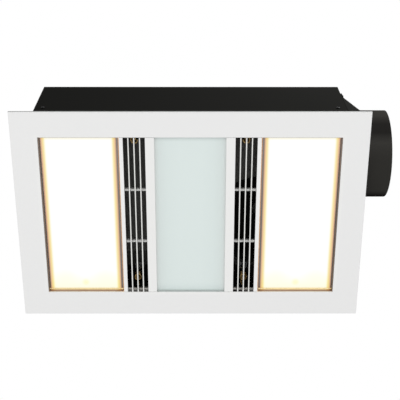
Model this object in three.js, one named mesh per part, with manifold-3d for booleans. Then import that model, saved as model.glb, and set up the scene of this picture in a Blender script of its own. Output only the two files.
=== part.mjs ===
// Bathroom ceiling heater: two heat windows, an LED light panel and an extraction fan behind one
// fascia, in a sheet steel housing that stands in the roof space.
//
// Millimetres. The origin is the middle of the opening cut in the ceiling, on the underside of the
// ceiling board. +Z goes up into the roof space, +X points to the duct and -Y to the front edge.

import * as THREE from "three";
import { mergeVertices } from "three/addons/utils/BufferGeometryUtils.js";
import Module from "manifold-3d";

const wasm = await Module();
wasm.setup();

// General clearances
const gap = 0.3; // air left between pieces that touch on the real heater
const overrun = 2; // how far a cutter runs past the face that it cuts
const weld = 0.4; // how far two shapes of one piece run into each other

// Fascia: one white moulding, a flat border round one large window
const fascia = {
  width: 580,
  depth: 374.4,
  edge: 3.4, // height of the outer edge below the ceiling
  skin: 2.6, // thickness of the border behind that edge
  border: 44, // from the outer edge to the window
  seat: 12, // band round the back that meets the ceiling
  lipWall: 1.6, // wall that stands round the window, behind the face
  lipTop: 12, // top of that wall, above the ceiling plane
  bevel: 0.6,
};

// LED panel: frosted glass in the middle of the window, a tray and a lit board above it
const led = {
  width: 116.5, // glass that shows between the two grilles
  recess: 6, // from the fascia's face up to the glass
  glass: 4,
  restWidth: 2, // ledge of the grille under the glass
  glassOverlap: 5, // how far the glass reaches over each grille
  traySide: 2.2, // from the visible glass edge in to the tray
  trayEnd: 5, // from the window's end in to the tray
  trayBottom: 9,
  trayHeight: 25,
  traySheet: 1,
  tabWidth: 50,
  tabDrop: 10,
  boardMargin: 8,
  board: 1.6,
  chipRows: 2,
  chipsInRow: 7,
  chip: 5,
  chipHeight: 1,
};

// Grilles: four slots with three bars between them, two crossbars and two end bars behind
const grille = {
  ledBand: 15.05, // white band between the LED glass and the first slot
  slots: 4,
  slotWidth: 7.2,
  barWidth: 2.2,
  heatBand: 6.6, // white band between the last slot and the heat window
  face: 2.4, // thickness of the bands
  wall: 1.6,
  barDepth: 7.3, // from the face to the crossbars
  crossbars: 2,
  crossbarWidth: 4,
  crossbarDepth: 5,
  endBarWidth: 2.6,
  flankLean: 1.8, // how far the outer flank leans away from the slots
};

// Heat windows: glass in a folded metal frame, a channel that is open towards the glass
const heat = {
  recess: 9.8, // from the fascia's face up to the channel
  glass: 4,
  railLeg: 3.2, // reach of the channel's legs along the glass's long sides
  endLeg: 1.9,
  railSheet: 0.8,
  railFoot: 0.4, // from the fascia's face up to the lower edge of the frame's outer side
  endFoot: 2.4, // the same at the frame's two ends
};

// Housing: an open-bottomed box of folded black steel
const housing = {
  overhang: 26.2, // how far the fascia stands out past it on every side
  height: 203.4, // top above the ceiling plane
  sheet: 0.8,
};

// Deck: the sheet that carries the fan and closes the space above the lamps
const deck = {
  height: 68, // its underside above the ceiling plane
  sheet: 1,
  flange: 30,
  screwHeight: 20, // above its underside
  screwEdge: 14.8, // from the housing's corner to the screw
};

// Fan: forward curved wheel in a scroll that opens to the right
const fan = {
  outletRun: 142, // from the wheel's axis to the housing's right wall
  rearGap: 3, // between the scroll and the deck's rear flange
  inletRadius: 84,
  throatRadius: 73,
  throatHeight: 10.5,
  inletSheet: 1.2,
  inletFlange: 10,
  throatSteps: 3,
};

const wheel = {
  radius: 92,
  bladeRoot: 78,
  blades: 28,
  bladeSheet: 1.2,
  bladeSteps: 2,
  bladeSweep: 8, // degrees that the tip leads the root by
  bladeLean: 2.5, // degrees that the blade's middle hangs back
  ring: 2,
  plate: 1.2,
  width: 58,
  standOff: 7.8, // from the deck up to the wheel's lower ring
  hubRadius: 11,
  hubFlange: 18,
  hubFlangeSheet: 2.6,
  hubLength: 17,
  shaftRadius: 4,
  shaftTail: 2,
};

const scroll = {
  tongueAngle: -40, // degrees from +X
  tongueGap: 8, // from the wheel to the tongue
  endAngle: 270,
  growth: 0.115, // millimetres of radius for each degree
  stepDegrees: 12.4,
  sheet: 1.2,
  headroom: 7, // from the wheel's back plate to the scroll's top
  shaftHole: 20,
};

const motor = {
  radius: 46,
  height: 44,
  shoulder: 5,
  bearingDepth: 14,
  mountRadius: 54,
  mountSheet: 2,
  ventRadius: 14,
  ventCollar: 2,
};

const capacitor = {
  fromFan: 183, // its middle, from the wheel's axis towards the left
  fromRear: 63,
  length: 44,
  width: 20,
  height: 32,
  bevel: 3,
};
const driver = {
  fromLeft: 113, // its middle, from the housing's left wall
  fromFront: 67,
  length: 132,
  width: 44,
  height: 27,
  foot: 9,
  footSheet: 2,
};

// Duct adaptor: square flange, a transition and a round spigot for 150 mm ducting
const duct = {
  flange: 163.4,
  flangeSheet: 2.4,
  axisHeight: 86.4,
  baseInset: 1.8, // from the flange's edge in to the transition
  baseCorner: 20,
  transition: 23,
  radius: 74.3,
  wall: 1.6,
  spigot: 43,
  sectionSteps: 9, // points in a quarter of the section
  screwInset: 5,
};

// Backdraft damper: a hinged flap on a frame, inside the adaptor
const damper = {
  width: 94, // of the outlet that it closes
  height: 66,
  sill: 2.3, // from the deck up to the outlet
  frameDepth: 3.9,
  frameSide: 9,
  frameFoot: 5.5,
  frameHead: 11,
  seat: 2.2, // strip of frame above the outlet
  flapLap: 3.8,
  flapSheet: 1,
  earDepth: 2.4, // how far the ears stand out past the frame
  earSheet: 4.5,
  pinRadius: 1.3,
  knuckleRadius: 2.6,
  knuckleLength: 15,
  knuckleInset: 6,
};

// Heat lamps: a quartz tube in a trough reflector above each heat window
const lamp = {
  troughHeight: 36,
  troughBottom: 14.5,
  troughInset: 1.6, // from the glass's side edge in to the trough
  troughEnd: 3.2, // from the window's end in to the trough's end
  sheet: 0.8,
  troughSteps: 8,
  tabWidth: 40,
  tabLift: 25,
  tabDrop: 10,
  axisLift: 16, // from the trough's mouth to the tube
  tubeRadius: 5.5,
  tubeNeck: 3.5,
  neckLength: 9,
  taper: 3,
  holderLength: 16,
  holderWidth: 18,
  holderHeight: 20,
  socketDepth: 7,
};

// Springs that pull the fascia up against the ceiling
const spring = {
  x: 92, // axis, from the middle of the heater
  endInset: 14.2, // axis, from the window's end
  diameter: 13,
  wire: 1.8,
  curls: 5,
  pitch: 2.4,
  bottom: 22.6, // lowest curl above the ceiling plane
  stepsPerCurl: 8,
  wireSides: 5,
  tailSteps: 9,
  footLength: 3.2,
  risePastLug: 1.6,
  leadSteps: 8,
  hookRadius: 3.2,
  hookSteps: 8,
  hookTip: 1.2,
  leastLead: 90, // degrees from the last curl to the hook
};

const bracket = { length: 16, width: 12, sheet: 1.2, tabWidth: 10, tabDrop: 10.6, hole: 1.7, holeLift: 3.4 };
const clip = {
  inset: 3.4, // its hole, from the spring's axis towards the middle
  outset: 8.2, // its hole, from the spring's axis towards the end
  width: 9,
  sheet: 1,
  hole: 1.7,
  lug: 3, // from the hole to the lug's tip
  legDrop: 8,
  innerDrop: 2.7,
};

// Screws: pan heads on the housing's outside
const screw = { headRadius: 3, headHeight: 2.2, shank: 1.7, length: 7, sides: 8 };

// Terminal box on the housing's top
const terminal = {
  fromLeft: 123.8, // its middle, from the housing's left side
  fromRear: 77,
  length: 104,
  width: 62,
  height: 26,
  wall: 1.8,
  lid: 2,
  lidLip: 3,
  wireHole: 9,
  wireHoleShift: 30,
  blockShift: -12,
  blockLength: 64,
  blockWidth: 18,
  blockHeight: 14,
  blockWays: 5,
  blockScrew: 2.4,
  blockScrewDepth: 4,
};

const gland = {
  thread: 8,
  bore: 4.2,
  collar: 11.2,
  collarLength: 6,
  nut: 9.6,
  nutLength: 4,
  domeRadius: 9.5,
  domeLength: 12,
  sides: 16,
};

// Smoothness of round pieces
const fineSides = 36;
const roundSides = 24;
const smallSides = 12;
const neighbourWires = 3; // wire thicknesses along a wire within which its points are neighbours

// Places worked out from the sizes above
const faceZ = -fascia.edge;
const backZ = faceZ + fascia.skin;
const windowX = fascia.width / 2 - fascia.border;
const windowY = fascia.depth / 2 - fascia.border;
const outerX = fascia.width / 2 - housing.overhang;
const outerY = fascia.depth / 2 - housing.overhang;
const innerX = outerX - housing.sheet;
const innerY = outerY - housing.sheet;
const housingBottom = backZ + gap;
const ceilingInside = housing.height - housing.sheet;
const deckTop = deck.height + deck.sheet;
const deckInsideY = innerY - gap - deck.sheet;

const firstSlotX = led.width / 2 + grille.ledBand;
const slotPitch = grille.slotWidth + grille.barWidth;
const lastSlotX = firstSlotX + grille.slots * slotPitch - grille.barWidth;
const grilleX = lastSlotX + grille.heatBand;
const flankX = grilleX + grille.flankLean;
const insertY = windowY - gap; // half length of everything that stands in the window
const barTop = faceZ + grille.barDepth;
const crossbarTop = barTop + grille.crossbarDepth;

const ledGlassZ = faceZ + led.recess;
const ledGlassX = led.width / 2 + led.glassOverlap;
const railZ = faceZ + heat.recess;
const railHeight = heat.glass + 2 * (heat.railSheet + gap);
const railTop = railZ + railHeight;
const innerRailX = flankX + gap;
const outerRailX = windowX - gap;
const heatGlassLeft = innerRailX + heat.railSheet + gap;
const heatGlassRight = outerRailX - heat.railSheet - gap;
const heatGlassY = insertY - heat.railSheet - gap;
const heatMiddleX = (heatGlassLeft + heatGlassRight) / 2;

const tongueRadius = wheel.radius + scroll.tongueGap;
const scrollRadius = (degrees) => tongueRadius + scroll.growth * (degrees - scroll.tongueAngle);
const rearDegrees = 90;
const fanX = innerX - fan.outletRun;
const fanY = deckInsideY - fan.rearGap - scroll.sheet - scrollRadius(rearDegrees);
const wheelBottom = deckTop + wheel.standOff;
const wheelTop = wheelBottom + wheel.width;
const scrollCeiling = wheelTop + gap + wheel.plate + scroll.headroom;
const scrollTop = scrollCeiling + scroll.sheet;
const motorBottom = scrollTop + gap + motor.mountSheet + gap;

const driverX = driver.fromLeft - innerX;
const driverY = driver.fromFront - deckInsideY;
const capacitorX = fanX - capacitor.fromFan;
const capacitorY = deckInsideY - capacitor.fromRear;
const terminalX = terminal.fromLeft - outerX;
const terminalY = outerY - terminal.fromRear;

const ductY = -outerY + duct.flange / 2;
const ductX = outerX + gap;
const outletBottom = deckTop + damper.sill;
const outletTop = outletBottom + damper.height;
const pinZ = outletTop + damper.seat + gap + damper.knuckleRadius;
const pinX = outerX + gap + damper.knuckleRadius;

const deckScrewX = outerX - deck.screwEdge;
const deckScrewZ = deck.height + deck.screwHeight;
const adaptorScrew = duct.flange / 2 - duct.screwInset;
const flapHalf = damper.width / 2 + damper.flapLap;
const glandZ = terminal.wall + gap + gland.nut;

const troughEndY = windowY - lamp.troughEnd;
const holderY = troughEndY - lamp.sheet - gap - lamp.holderLength;
const lampEndY = holderY + lamp.socketDepth - gap;
const lampZ = lamp.troughBottom + lamp.axisLift;

const springY = windowY - spring.endInset;
const bracketTop = deck.height - gap;
const holeSlack = bracket.hole - spring.wire / 2 - gap;
const hookZ = bracketTop - bracket.tabDrop + bracket.holeLift - holeSlack;
const clipX = spring.x - clip.inset;
const clipY = springY + clip.outset;
const clipBottom = fascia.lipTop + gap;

// Materials
const paint = (color, roughness, metalness) =>
  new THREE.MeshStandardMaterial({ color, roughness, metalness });
const whitePlastic = paint(0xe9e9e9, 0.45, 0);
const blackSteel = paint(0x1f1f1e, 0.5, 0.3);
const blackPlastic = paint(0x2d2c2a, 0.5, 0);
const frostedGlass = paint(0xdce5e4, 0.35, 0);
const heatGlass = paint(0xfff4d8, 0.3, 0);
const railMetal = paint(0x7a7572, 0.4, 0.8);
const galvanised = paint(0xa8acae, 0.45, 0.9);
const reflectorMetal = paint(0xd4d4d0, 0.2, 1);
const springSteel = paint(0x8f7648, 0.35, 0.9);
const bareSteel = paint(0xb8b8b6, 0.3, 1);
const castAlloy = paint(0x9a9c9d, 0.5, 0.8);
const ceramic = paint(0xe6e0d2, 0.6, 0);
const quartz = paint(0xf3e6cf, 0.1, 0);
const circuitBoard = paint(0xe8ece8, 0.5, 0);
const greyPlastic = paint(0x8d9092, 0.55, 0);

// A closed three.js geometry as a solid that can be cut and joined.
function solidOf(geometry) {
  const loose = geometry.index ? geometry.toNonIndexed() : geometry.clone();
  loose.deleteAttribute("normal");
  loose.deleteAttribute("uv");
  const merged = mergeVertices(loose);
  const corners = [];
  for (let i = 0; i < merged.index.count; i += 3) {
    const [a, b, c] = [0, 1, 2].map((k) => merged.index.getX(i + k));
    if (a !== b && b !== c && c !== a) corners.push(a, b, c);
  }
  const mesh = new wasm.Mesh({
    numProp: 3,
    vertProperties: merged.attributes.position.array,
    triVerts: new Uint32Array(corners),
  });
  return new wasm.Manifold(mesh);
}

// A box between two values on each axis.
function block([x0, x1], [y0, y1], [z0, z1]) {
  const box = new THREE.BoxGeometry(x1 - x0, y1 - y0, z1 - z0);
  return solidOf(box.translate((x0 + x1) / 2, (y0 + y1) / 2, (z0 + z1) / 2));
}

function extruded(outline, length) {
  const shape = new THREE.Shape(outline.map(([a, b]) => new THREE.Vector2(a, b)));
  return new THREE.ExtrudeGeometry(shape, { depth: length, bevelEnabled: false });
}

// An outline of [x, y] points, raised from one height to another.
function prismZ(outline, [z0, z1]) {
  return solidOf(extruded(outline, z1 - z0).translate(0, 0, z0));
}

// An outline of [x, z] points, run along Y.
function prismY(outline, [y0, y1]) {
  return solidOf(extruded(outline, y1 - y0).rotateX(Math.PI / 2).translate(0, y1, 0));
}

// An outline of [radius, height] points, from low to high outside, turned round Z.
function turned(outline, sides) {
  const points = outline.map(([radius, height]) => new THREE.Vector2(radius, height));
  const first = points[0];
  const last = points[points.length - 1];
  if (first.x > 0 || last.x > 0) points.push(first.clone());
  return solidOf(new THREE.LatheGeometry(points, sides).rotateX(Math.PI / 2));
}

// A round bar along Z.
function bar(radius, [z0, z1], sides) {
  return turned([[0, z0], [radius, z0], [radius, z1], [0, z1]], sides);
}

// A solid moved, or turned and then moved.
function moved(solid, x, y, z) {
  return solid.translate([x, y, z]);
}

function alongX(solid) {
  return solid.rotate([0, 90, 0]);
}

function alongY(solid) {
  return solid.rotate([-90, 0, 0]);
}

function joined(pieces) {
  return pieces.reduce((sum, piece) => sum.add(piece));
}

// A named mesh of a solid, hung in a group.
function addPart(group, name, solid, material, x = 0, y = 0, z = 0) {
  const made = solid.getMesh();
  const geometry = new THREE.BufferGeometry();
  geometry.setAttribute("position", new THREE.BufferAttribute(made.vertProperties.slice(), made.numProp));
  geometry.setIndex(new THREE.BufferAttribute(made.triVerts.slice(), 1));
  geometry.computeVertexNormals();
  const mesh = new THREE.Mesh(geometry, material);
  mesh.name = name;
  mesh.position.set(x, y, z);
  group.add(mesh);
  return mesh;
}

function addGroup(parent, x, y, z) {
  const group = new THREE.Group();
  group.position.set(x, y, z);
  parent.add(group);
  return group;
}

// A solid skin through sections that all hold the same number of points.
function lofted(sections) {
  const count = sections[0].length;
  const corners = [];
  const faces = [];
  sections.forEach((section) => section.forEach((point) => corners.push(...point)));
  for (let s = 0; s + 1 < sections.length; s += 1) {
    for (let i = 0; i < count; i += 1) {
      const a = s * count + i;
      const b = s * count + ((i + 1) % count);
      faces.push(a, b, b + count, a, b + count, a + count);
    }
  }
  const end = (sections.length - 1) * count;
  for (let i = 1; i + 1 < count; i += 1) {
    faces.push(0, i + 1, i);
    faces.push(end, end + i, end + i + 1);
  }
  const geometry = new THREE.BufferGeometry();
  geometry.setAttribute("position", new THREE.Float32BufferAttribute(corners, 3));
  geometry.setIndex(faces);
  return solidOf(geometry);
}

// A square section with round corners, or a circle where the corner is as large as the half side.
function roundedSection(x, half, corner) {
  const points = [];
  const steps = 4 * duct.sectionSteps;
  for (let i = 0; i < steps; i += 1) {
    const angle = ((i + 0.5) / steps) * 2 * Math.PI;
    const y = Math.sign(Math.cos(angle)) * (half - corner) + corner * Math.cos(angle);
    const z = Math.sign(Math.sin(angle)) * (half - corner) + corner * Math.sin(angle);
    points.push([x, y, z]);
  }
  return points;
}

// The points of a path, moved sideways to its right by a thickness, with mitred corners.
function offsetPath(path, thickness) {
  const points = path.map(([x, y]) => new THREE.Vector2(x, y));
  return points.map((point, i) => {
    const before = points[Math.max(i - 1, 0)];
    const after = points[Math.min(i + 1, points.length - 1)];
    const into = point.clone().sub(before).normalize();
    const out = after.clone().sub(point).normalize();
    if (i === 0) into.copy(out);
    if (i === points.length - 1) out.copy(into);
    const side = new THREE.Vector2(into.y + out.y, -into.x - out.x);
    const stretch = 1 + into.dot(out);
    return [point.x + (side.x * thickness) / stretch, point.y + (side.y * thickness) / stretch];
  });
}

// A round wire through points, closed at both ends.
function wireThrough(points, radius, sides) {
  const sections = [];
  const across = new THREE.Vector3();
  points.forEach((point, i) => {
    const before = points[Math.max(i - 1, 0)];
    const after = points[Math.min(i + 1, points.length - 1)];
    const along = after.clone().sub(before).normalize();
    if (i === 0) {
      const level = Math.abs(along.z) < Math.SQRT1_2;
      across.crossVectors(along, level ? new THREE.Vector3(0, 0, 1) : new THREE.Vector3(1, 0, 0));
    }
    across.addScaledVector(along, -across.dot(along)).normalize();
    const third = new THREE.Vector3().crossVectors(along, across);
    const section = [];
    for (let k = 0; k < sides; k += 1) {
      const angle = (k / sides) * 2 * Math.PI;
      const corner = point.clone();
      corner.addScaledVector(across, radius * Math.cos(angle));
      corner.addScaledVector(third, radius * Math.sin(angle));
      section.push(corner.toArray());
    }
    sections.push(section);
  });
  return lofted(sections);
}

// The least air between a wire and itself, leaving out the stretch next to each point.
function leastGapToItself(points, radius) {
  let least = Infinity;
  for (let i = 0; i < points.length; i += 1) {
    let along = 0;
    for (let k = i + 1; k < points.length; k += 1) {
      along += points[k].distanceTo(points[k - 1]);
      const gapHere = points[i].distanceTo(points[k]) - 2 * radius;
      if (along > neighbourWires * 2 * radius) least = Math.min(least, gapHere);
    }
  }
  return least;
}

// Housing shell: five walls with the outlet, the screw holes and the supply's entry
function housingShell() {
  const outside = block([-outerX, outerX], [-outerY, outerY], [housingBottom, housing.height]);
  const inside = block([-innerX, innerX], [-innerY, innerY], [housingBottom - overrun, ceilingInside]);
  const outletY = damper.width / 2;
  const outletX = [innerX - overrun, outerX + overrun];
  const outlet = block(outletX, [ductY - outletY, ductY + outletY], [outletBottom, outletTop]);
  let shell = outside.subtract(inside).subtract(outlet);
  const holeRadius = screw.shank + gap;
  const screwHole = bar(holeRadius, [-overrun, housing.sheet + overrun], screw.sides);
  for (const side of [-1, 1]) {
    for (const end of [-1, 1]) {
      const y = end > 0 ? innerY : -outerY;
      shell = shell.subtract(moved(alongY(screwHole), side * deckScrewX, y, deckScrewZ));
      const high = duct.axisHeight + end * adaptorScrew;
      shell = shell.subtract(moved(alongX(screwHole), innerX, ductY + side * adaptorScrew, high));
    }
  }
  const wireHole = bar(terminal.wireHole, [ceilingInside - overrun, housing.height + overrun], roundSides);
  return shell.subtract(moved(wireHole, terminalX + terminal.wireHoleShift, terminalY, 0));
}

// Deck: a tray with its front and rear edges folded up and screwed to the housing
function fanDeck() {
  const halfX = innerX - gap;
  const halfY = innerY - gap;
  let tray = block([-halfX, halfX], [-halfY, halfY], [deck.height, deck.height + deck.flange]);
  tray = tray.subtract(
    block([-halfX - overrun, halfX + overrun], [-deckInsideY, deckInsideY], [deckTop, deckTop + deck.flange]),
  );
  const inlet = bar(fan.inletRadius, [deck.height - overrun, deckTop + overrun], fineSides);
  tray = tray.subtract(moved(inlet, fanX, fanY, 0));
  const hole = bar(screw.shank + gap, [-overrun, deck.sheet + overrun], screw.sides);
  for (const side of [-1, 1]) {
    for (const y of [-halfY, deckInsideY]) {
      tray = tray.subtract(moved(alongY(hole), side * deckScrewX, y, deckScrewZ));
    }
  }
  return tray;
}

// Bell mouth that leads the air from the deck's hole into the wheel
function inletRing() {
  const below = [];
  const above = [];
  for (let i = 0; i <= fan.throatSteps; i += 1) {
    const angle = ((i / fan.throatSteps) * Math.PI) / 2;
    const radius = fan.inletRadius - (fan.inletRadius - fan.throatRadius) * Math.sin(angle);
    const height = fan.throatHeight * (1 - Math.cos(angle));
    below.unshift([radius, height]);
    above.push([radius + fan.inletSheet * Math.sin(angle), height + fan.inletSheet * Math.cos(angle)]);
  }
  const rim = fan.inletRadius + fan.inletFlange;
  return turned([[rim, 0], [rim, fan.inletSheet], ...above, ...below], fineSides);
}

// Scroll casing: one curled wall with its lid, open below on the deck and open to the outlet
function scrollCasing() {
  const mouthX = innerX - gap - fanX;
  const mouthLow = ductY - fanY - damper.width / 2;
  const mouthHigh = ductY - fanY + damper.width / 2;
  const path = [[mouthX, mouthHigh]];
  const sweep = scroll.endAngle - scroll.tongueAngle;
  const steps = Math.round(sweep / scroll.stepDegrees);
  for (let i = 0; i <= steps; i += 1) {
    const degrees = scroll.tongueAngle + (i / steps) * sweep;
    const angle = THREE.MathUtils.degToRad(degrees);
    path.push([scrollRadius(degrees) * Math.cos(angle), scrollRadius(degrees) * Math.sin(angle)]);
  }
  path.push([mouthX, mouthLow]);
  const outside = offsetPath(path, scroll.sheet);
  outside[0][0] = mouthX;
  outside[outside.length - 1][0] = mouthX;
  const wall = prismZ([...path, ...[...outside].reverse()], [gap, scrollCeiling - deckTop + weld]);
  const lid = prismZ(outside, [scrollCeiling - deckTop, scrollTop - deckTop]);
  const hole = bar(scroll.shaftHole, [0, scrollTop - deckTop + overrun], roundSides);
  return wall.add(lid).subtract(hole);
}

// Wheel: curved blades between two rings. Local zero is the wheel's bottom.
function impellerWheel() {
  const ring = turned(
    [[wheel.bladeRoot, 0], [wheel.radius, 0], [wheel.radius, wheel.ring], [wheel.bladeRoot, wheel.ring]],
    fineSides,
  );
  const spine = [];
  for (let i = 0; i <= wheel.bladeSteps; i += 1) {
    const along = i / wheel.bladeSteps;
    const radius = wheel.bladeRoot + weld + along * (wheel.radius - wheel.bladeRoot - 2 * weld);
    const lead = wheel.bladeSweep * along - wheel.bladeLean * Math.sin(along * Math.PI);
    const angle = THREE.MathUtils.degToRad(lead);
    spine.push([radius * Math.cos(angle), radius * Math.sin(angle)]);
  }
  const outline = [...spine, ...offsetPath(spine, wheel.bladeSheet).reverse()].reverse();
  const blade = prismZ(outline, [wheel.ring - weld, wheel.width - wheel.ring + weld]);
  const pieces = [ring, moved(ring, 0, 0, wheel.width - wheel.ring)];
  for (let i = 0; i < wheel.blades; i += 1) pieces.push(blade.rotate([0, 0, (i / wheel.blades) * 360]));
  return joined(pieces);
}

// Back plate: a disc on the upper ring, round the hub
function impellerPlate() {
  const bottom = wheel.width + gap;
  const inner = wheel.hubRadius + gap;
  const top = bottom + wheel.plate;
  return turned([[inner, bottom], [wheel.radius, bottom], [wheel.radius, top], [inner, top]], fineSides);
}

// Hub: a boss below the back plate and a flange above it
function impellerHub() {
  const bore = wheel.shaftRadius + gap;
  const seat = wheel.width + gap + wheel.plate + gap;
  const bottom = wheel.width - wheel.hubLength;
  return turned(
    [
      [bore, bottom],
      [wheel.hubRadius, bottom],
      [wheel.hubRadius, seat],
      [wheel.hubFlange, seat],
      [wheel.hubFlange, seat + wheel.hubFlangeSheet],
      [bore, seat + wheel.hubFlangeSheet],
    ],
    roundSides,
  );
}

// Motor shaft, from below the hub up into the motor's bearing
function motorShaft() {
  const low = wheel.width - wheel.hubLength - wheel.shaftTail;
  const high = motorBottom - wheelBottom + motor.bearingDepth - gap;
  return bar(wheel.shaftRadius, [low, high], smallSides);
}

// Motor: a round can with a sloped shoulder and a bearing bore below
function motorCan() {
  const slope = motor.radius - motor.shoulder;
  const can = turned(
    [
      [0, 0],
      [slope, 0],
      [motor.radius, motor.shoulder],
      [motor.radius, motor.height - motor.shoulder],
      [slope, motor.height],
      [motor.ventRadius, motor.height],
      [motor.ventRadius, motor.height + motor.ventCollar],
      [0, motor.height + motor.ventCollar],
    ],
    fineSides,
  );
  return can.subtract(bar(wheel.shaftRadius + gap, [-overrun, motor.bearingDepth], smallSides));
}

function motorMount() {
  const hole = scroll.shaftHole;
  return turned(
    [[hole, 0], [motor.mountRadius, 0], [motor.mountRadius, motor.mountSheet], [hole, motor.mountSheet]],
    fineSides,
  );
}

function motorCapacitor() {
  const halfX = capacitor.length / 2;
  const halfY = capacitor.width / 2;
  const cut = capacitor.bevel;
  const outline = [
    [-halfX + cut, -halfY],
    [halfX - cut, -halfY],
    [halfX, -halfY + cut],
    [halfX, halfY - cut],
    [halfX - cut, halfY],
    [-halfX + cut, halfY],
    [-halfX, halfY - cut],
    [-halfX, -halfY + cut],
  ];
  return prismZ(outline, [0, capacitor.height]);
}

function ledDriver() {
  const halfX = driver.length / 2;
  const halfY = driver.width / 2;
  const footX = halfX + driver.foot;
  const body = block([-halfX, halfX], [-halfY, halfY], [0, driver.height]);
  const foot = block([-footX, footX], [-halfY, halfY], [0, driver.footSheet]);
  const hole = bar(screw.shank, [-overrun, driver.footSheet + overrun], smallSides);
  const holeX = halfX + driver.foot / 2;
  return body.add(foot).subtract(moved(hole, holeX, 0, 0)).subtract(moved(hole, -holeX, 0, 0));
}

// Duct adaptor, along local +X from the housing's wall, round the duct's axis
function ductAdaptor() {
  const half = duct.flange / 2;
  const base = half - duct.baseInset;
  const endX = duct.flangeSheet + duct.transition;
  const outside = lofted([
    roundedSection(0, base, duct.baseCorner),
    roundedSection(duct.flangeSheet, base, duct.baseCorner),
    roundedSection(endX, duct.radius, duct.radius),
    roundedSection(endX + duct.spigot, duct.radius, duct.radius),
  ]);
  const innerCorner = duct.baseCorner - duct.wall;
  const bore = duct.radius - duct.wall;
  const inside = lofted([
    roundedSection(-overrun, base - duct.wall, innerCorner),
    roundedSection(duct.flangeSheet, base - duct.wall, innerCorner),
    roundedSection(endX, bore, bore),
    roundedSection(endX + duct.spigot + overrun, bore, bore),
  ]);
  const flange = block([0, duct.flangeSheet], [-half, half], [-half, half]);
  let adaptor = outside.add(flange).subtract(inside);
  const hole = alongX(bar(screw.shank + gap, [-overrun, duct.flangeSheet + overrun], screw.sides));
  for (const y of [-adaptorScrew, adaptorScrew]) {
    for (const z of [-adaptorScrew, adaptorScrew]) adaptor = adaptor.subtract(moved(hole, 0, y, z));
  }
  return adaptor;
}

// Damper frame: a plate round the outlet, with a slot for the hinge and an ear at each side
function damperFrame() {
  const halfY = damper.width / 2 + damper.frameSide;
  const top = pinZ + damper.knuckleRadius + gap + damper.frameHead;
  const plate = block([0, damper.frameDepth], [-halfY, halfY], [outletBottom - damper.frameFoot, top]);
  const earX = [damper.frameDepth - weld, damper.frameDepth + damper.earDepth];
  const earZ = [outletTop, pinZ + damper.knuckleRadius + gap + weld];
  const outlet = block(
    [-overrun, damper.frameDepth + overrun],
    [-damper.width / 2, damper.width / 2],
    [outletBottom, outletTop],
  );
  const slotY = flapHalf + gap;
  const slotHigh = pinZ + damper.knuckleRadius + gap;
  const slot = block(
    [-overrun, damper.frameDepth + damper.earDepth + overrun],
    [-slotY, slotY],
    [outletTop + damper.seat, slotHigh],
  );
  let frame = plate;
  for (const side of [-1, 1]) {
    const ends = [side * halfY, side * (halfY - damper.earSheet)].sort((a, b) => a - b);
    frame = frame.add(block(earX, ends, earZ));
  }
  const pinHole = alongY(bar(damper.pinRadius + gap, [-halfY - overrun, halfY + overrun], smallSides));
  return frame.subtract(outlet).subtract(slot).subtract(moved(pinHole, damper.knuckleRadius, 0, pinZ));
}

function damperPin() {
  const half = damper.width / 2 + damper.frameSide;
  return alongY(bar(damper.pinRadius, [-half, half], smallSides));
}

// Flap, round the pin's axis: a plate that hangs in front of the frame from two knuckles
function backdraftFlap() {
  const low = outletBottom - damper.flapLap - pinZ;
  const faceX = damper.frameDepth + gap - damper.knuckleRadius;
  const plate = block([faceX, faceX + damper.flapSheet], [-flapHalf, flapHalf], [low, 0]);
  const bore = damper.pinRadius + gap;
  let flap = plate;
  for (const side of [-1, 1]) {
    const outer = side * (flapHalf - damper.knuckleInset);
    const inner = side * (flapHalf - damper.knuckleInset - damper.knuckleLength);
    const span = [inner, outer].sort((a, b) => a - b);
    flap = flap.add(alongY(bar(damper.knuckleRadius, [-span[1], -span[0]], smallSides)));
  }
  return flap.subtract(alongY(bar(bore, [-flapHalf - overrun, flapHalf + overrun], smallSides)));
}

// Trough reflector, round its own middle, with closed ends and a tab at each end
function lampReflector() {
  const halfX = (heatGlassRight - heatGlassLeft) / 2 - lamp.troughInset;
  const endY = troughEndY;
  const arch = (reachX, reachZ) => {
    const points = [];
    for (let i = 0; i <= lamp.troughSteps; i += 1) {
      const angle = (i / lamp.troughSteps) * Math.PI;
      points.push([reachX * Math.cos(angle), reachZ * Math.sin(angle)]);
    }
    return points;
  };
  const outside = arch(halfX, lamp.troughHeight);
  const inside = arch(halfX - lamp.sheet, lamp.troughHeight - lamp.sheet);
  const hollow = [[halfX - lamp.sheet, -overrun], ...inside, [lamp.sheet - halfX, -overrun]];
  const trough = prismY(outside, [-endY, endY]);
  let reflector = trough.subtract(prismY(hollow, [lamp.sheet - endY, endY - lamp.sheet]));
  const half = lamp.tabWidth / 2;
  const wallY = innerY - gap;
  for (const end of [-1, 1]) {
    const reach = [end * (endY - weld), end * wallY].sort((a, b) => a - b);
    const turn = [end * (wallY - lamp.sheet), end * wallY].sort((a, b) => a - b);
    reflector = reflector.add(block([-half, half], reach, [lamp.tabLift, lamp.tabLift + lamp.sheet]));
    reflector = reflector.add(block([-half, half], turn, [lamp.tabLift - lamp.tabDrop, lamp.tabLift + weld]));
  }
  return reflector;
}

// Quartz tube along Y with a narrow neck at each end
function lampTube() {
  const end = lampEndY;
  const neck = end - lamp.neckLength;
  const full = neck - lamp.taper;
  return alongY(
    turned(
      [
        [0, -end],
        [lamp.tubeNeck, -end],
        [lamp.tubeNeck, -neck],
        [lamp.tubeRadius, -full],
        [lamp.tubeRadius, full],
        [lamp.tubeNeck, neck],
        [lamp.tubeNeck, end],
        [0, end],
      ],
      smallSides,
    ),
  );
}

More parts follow.
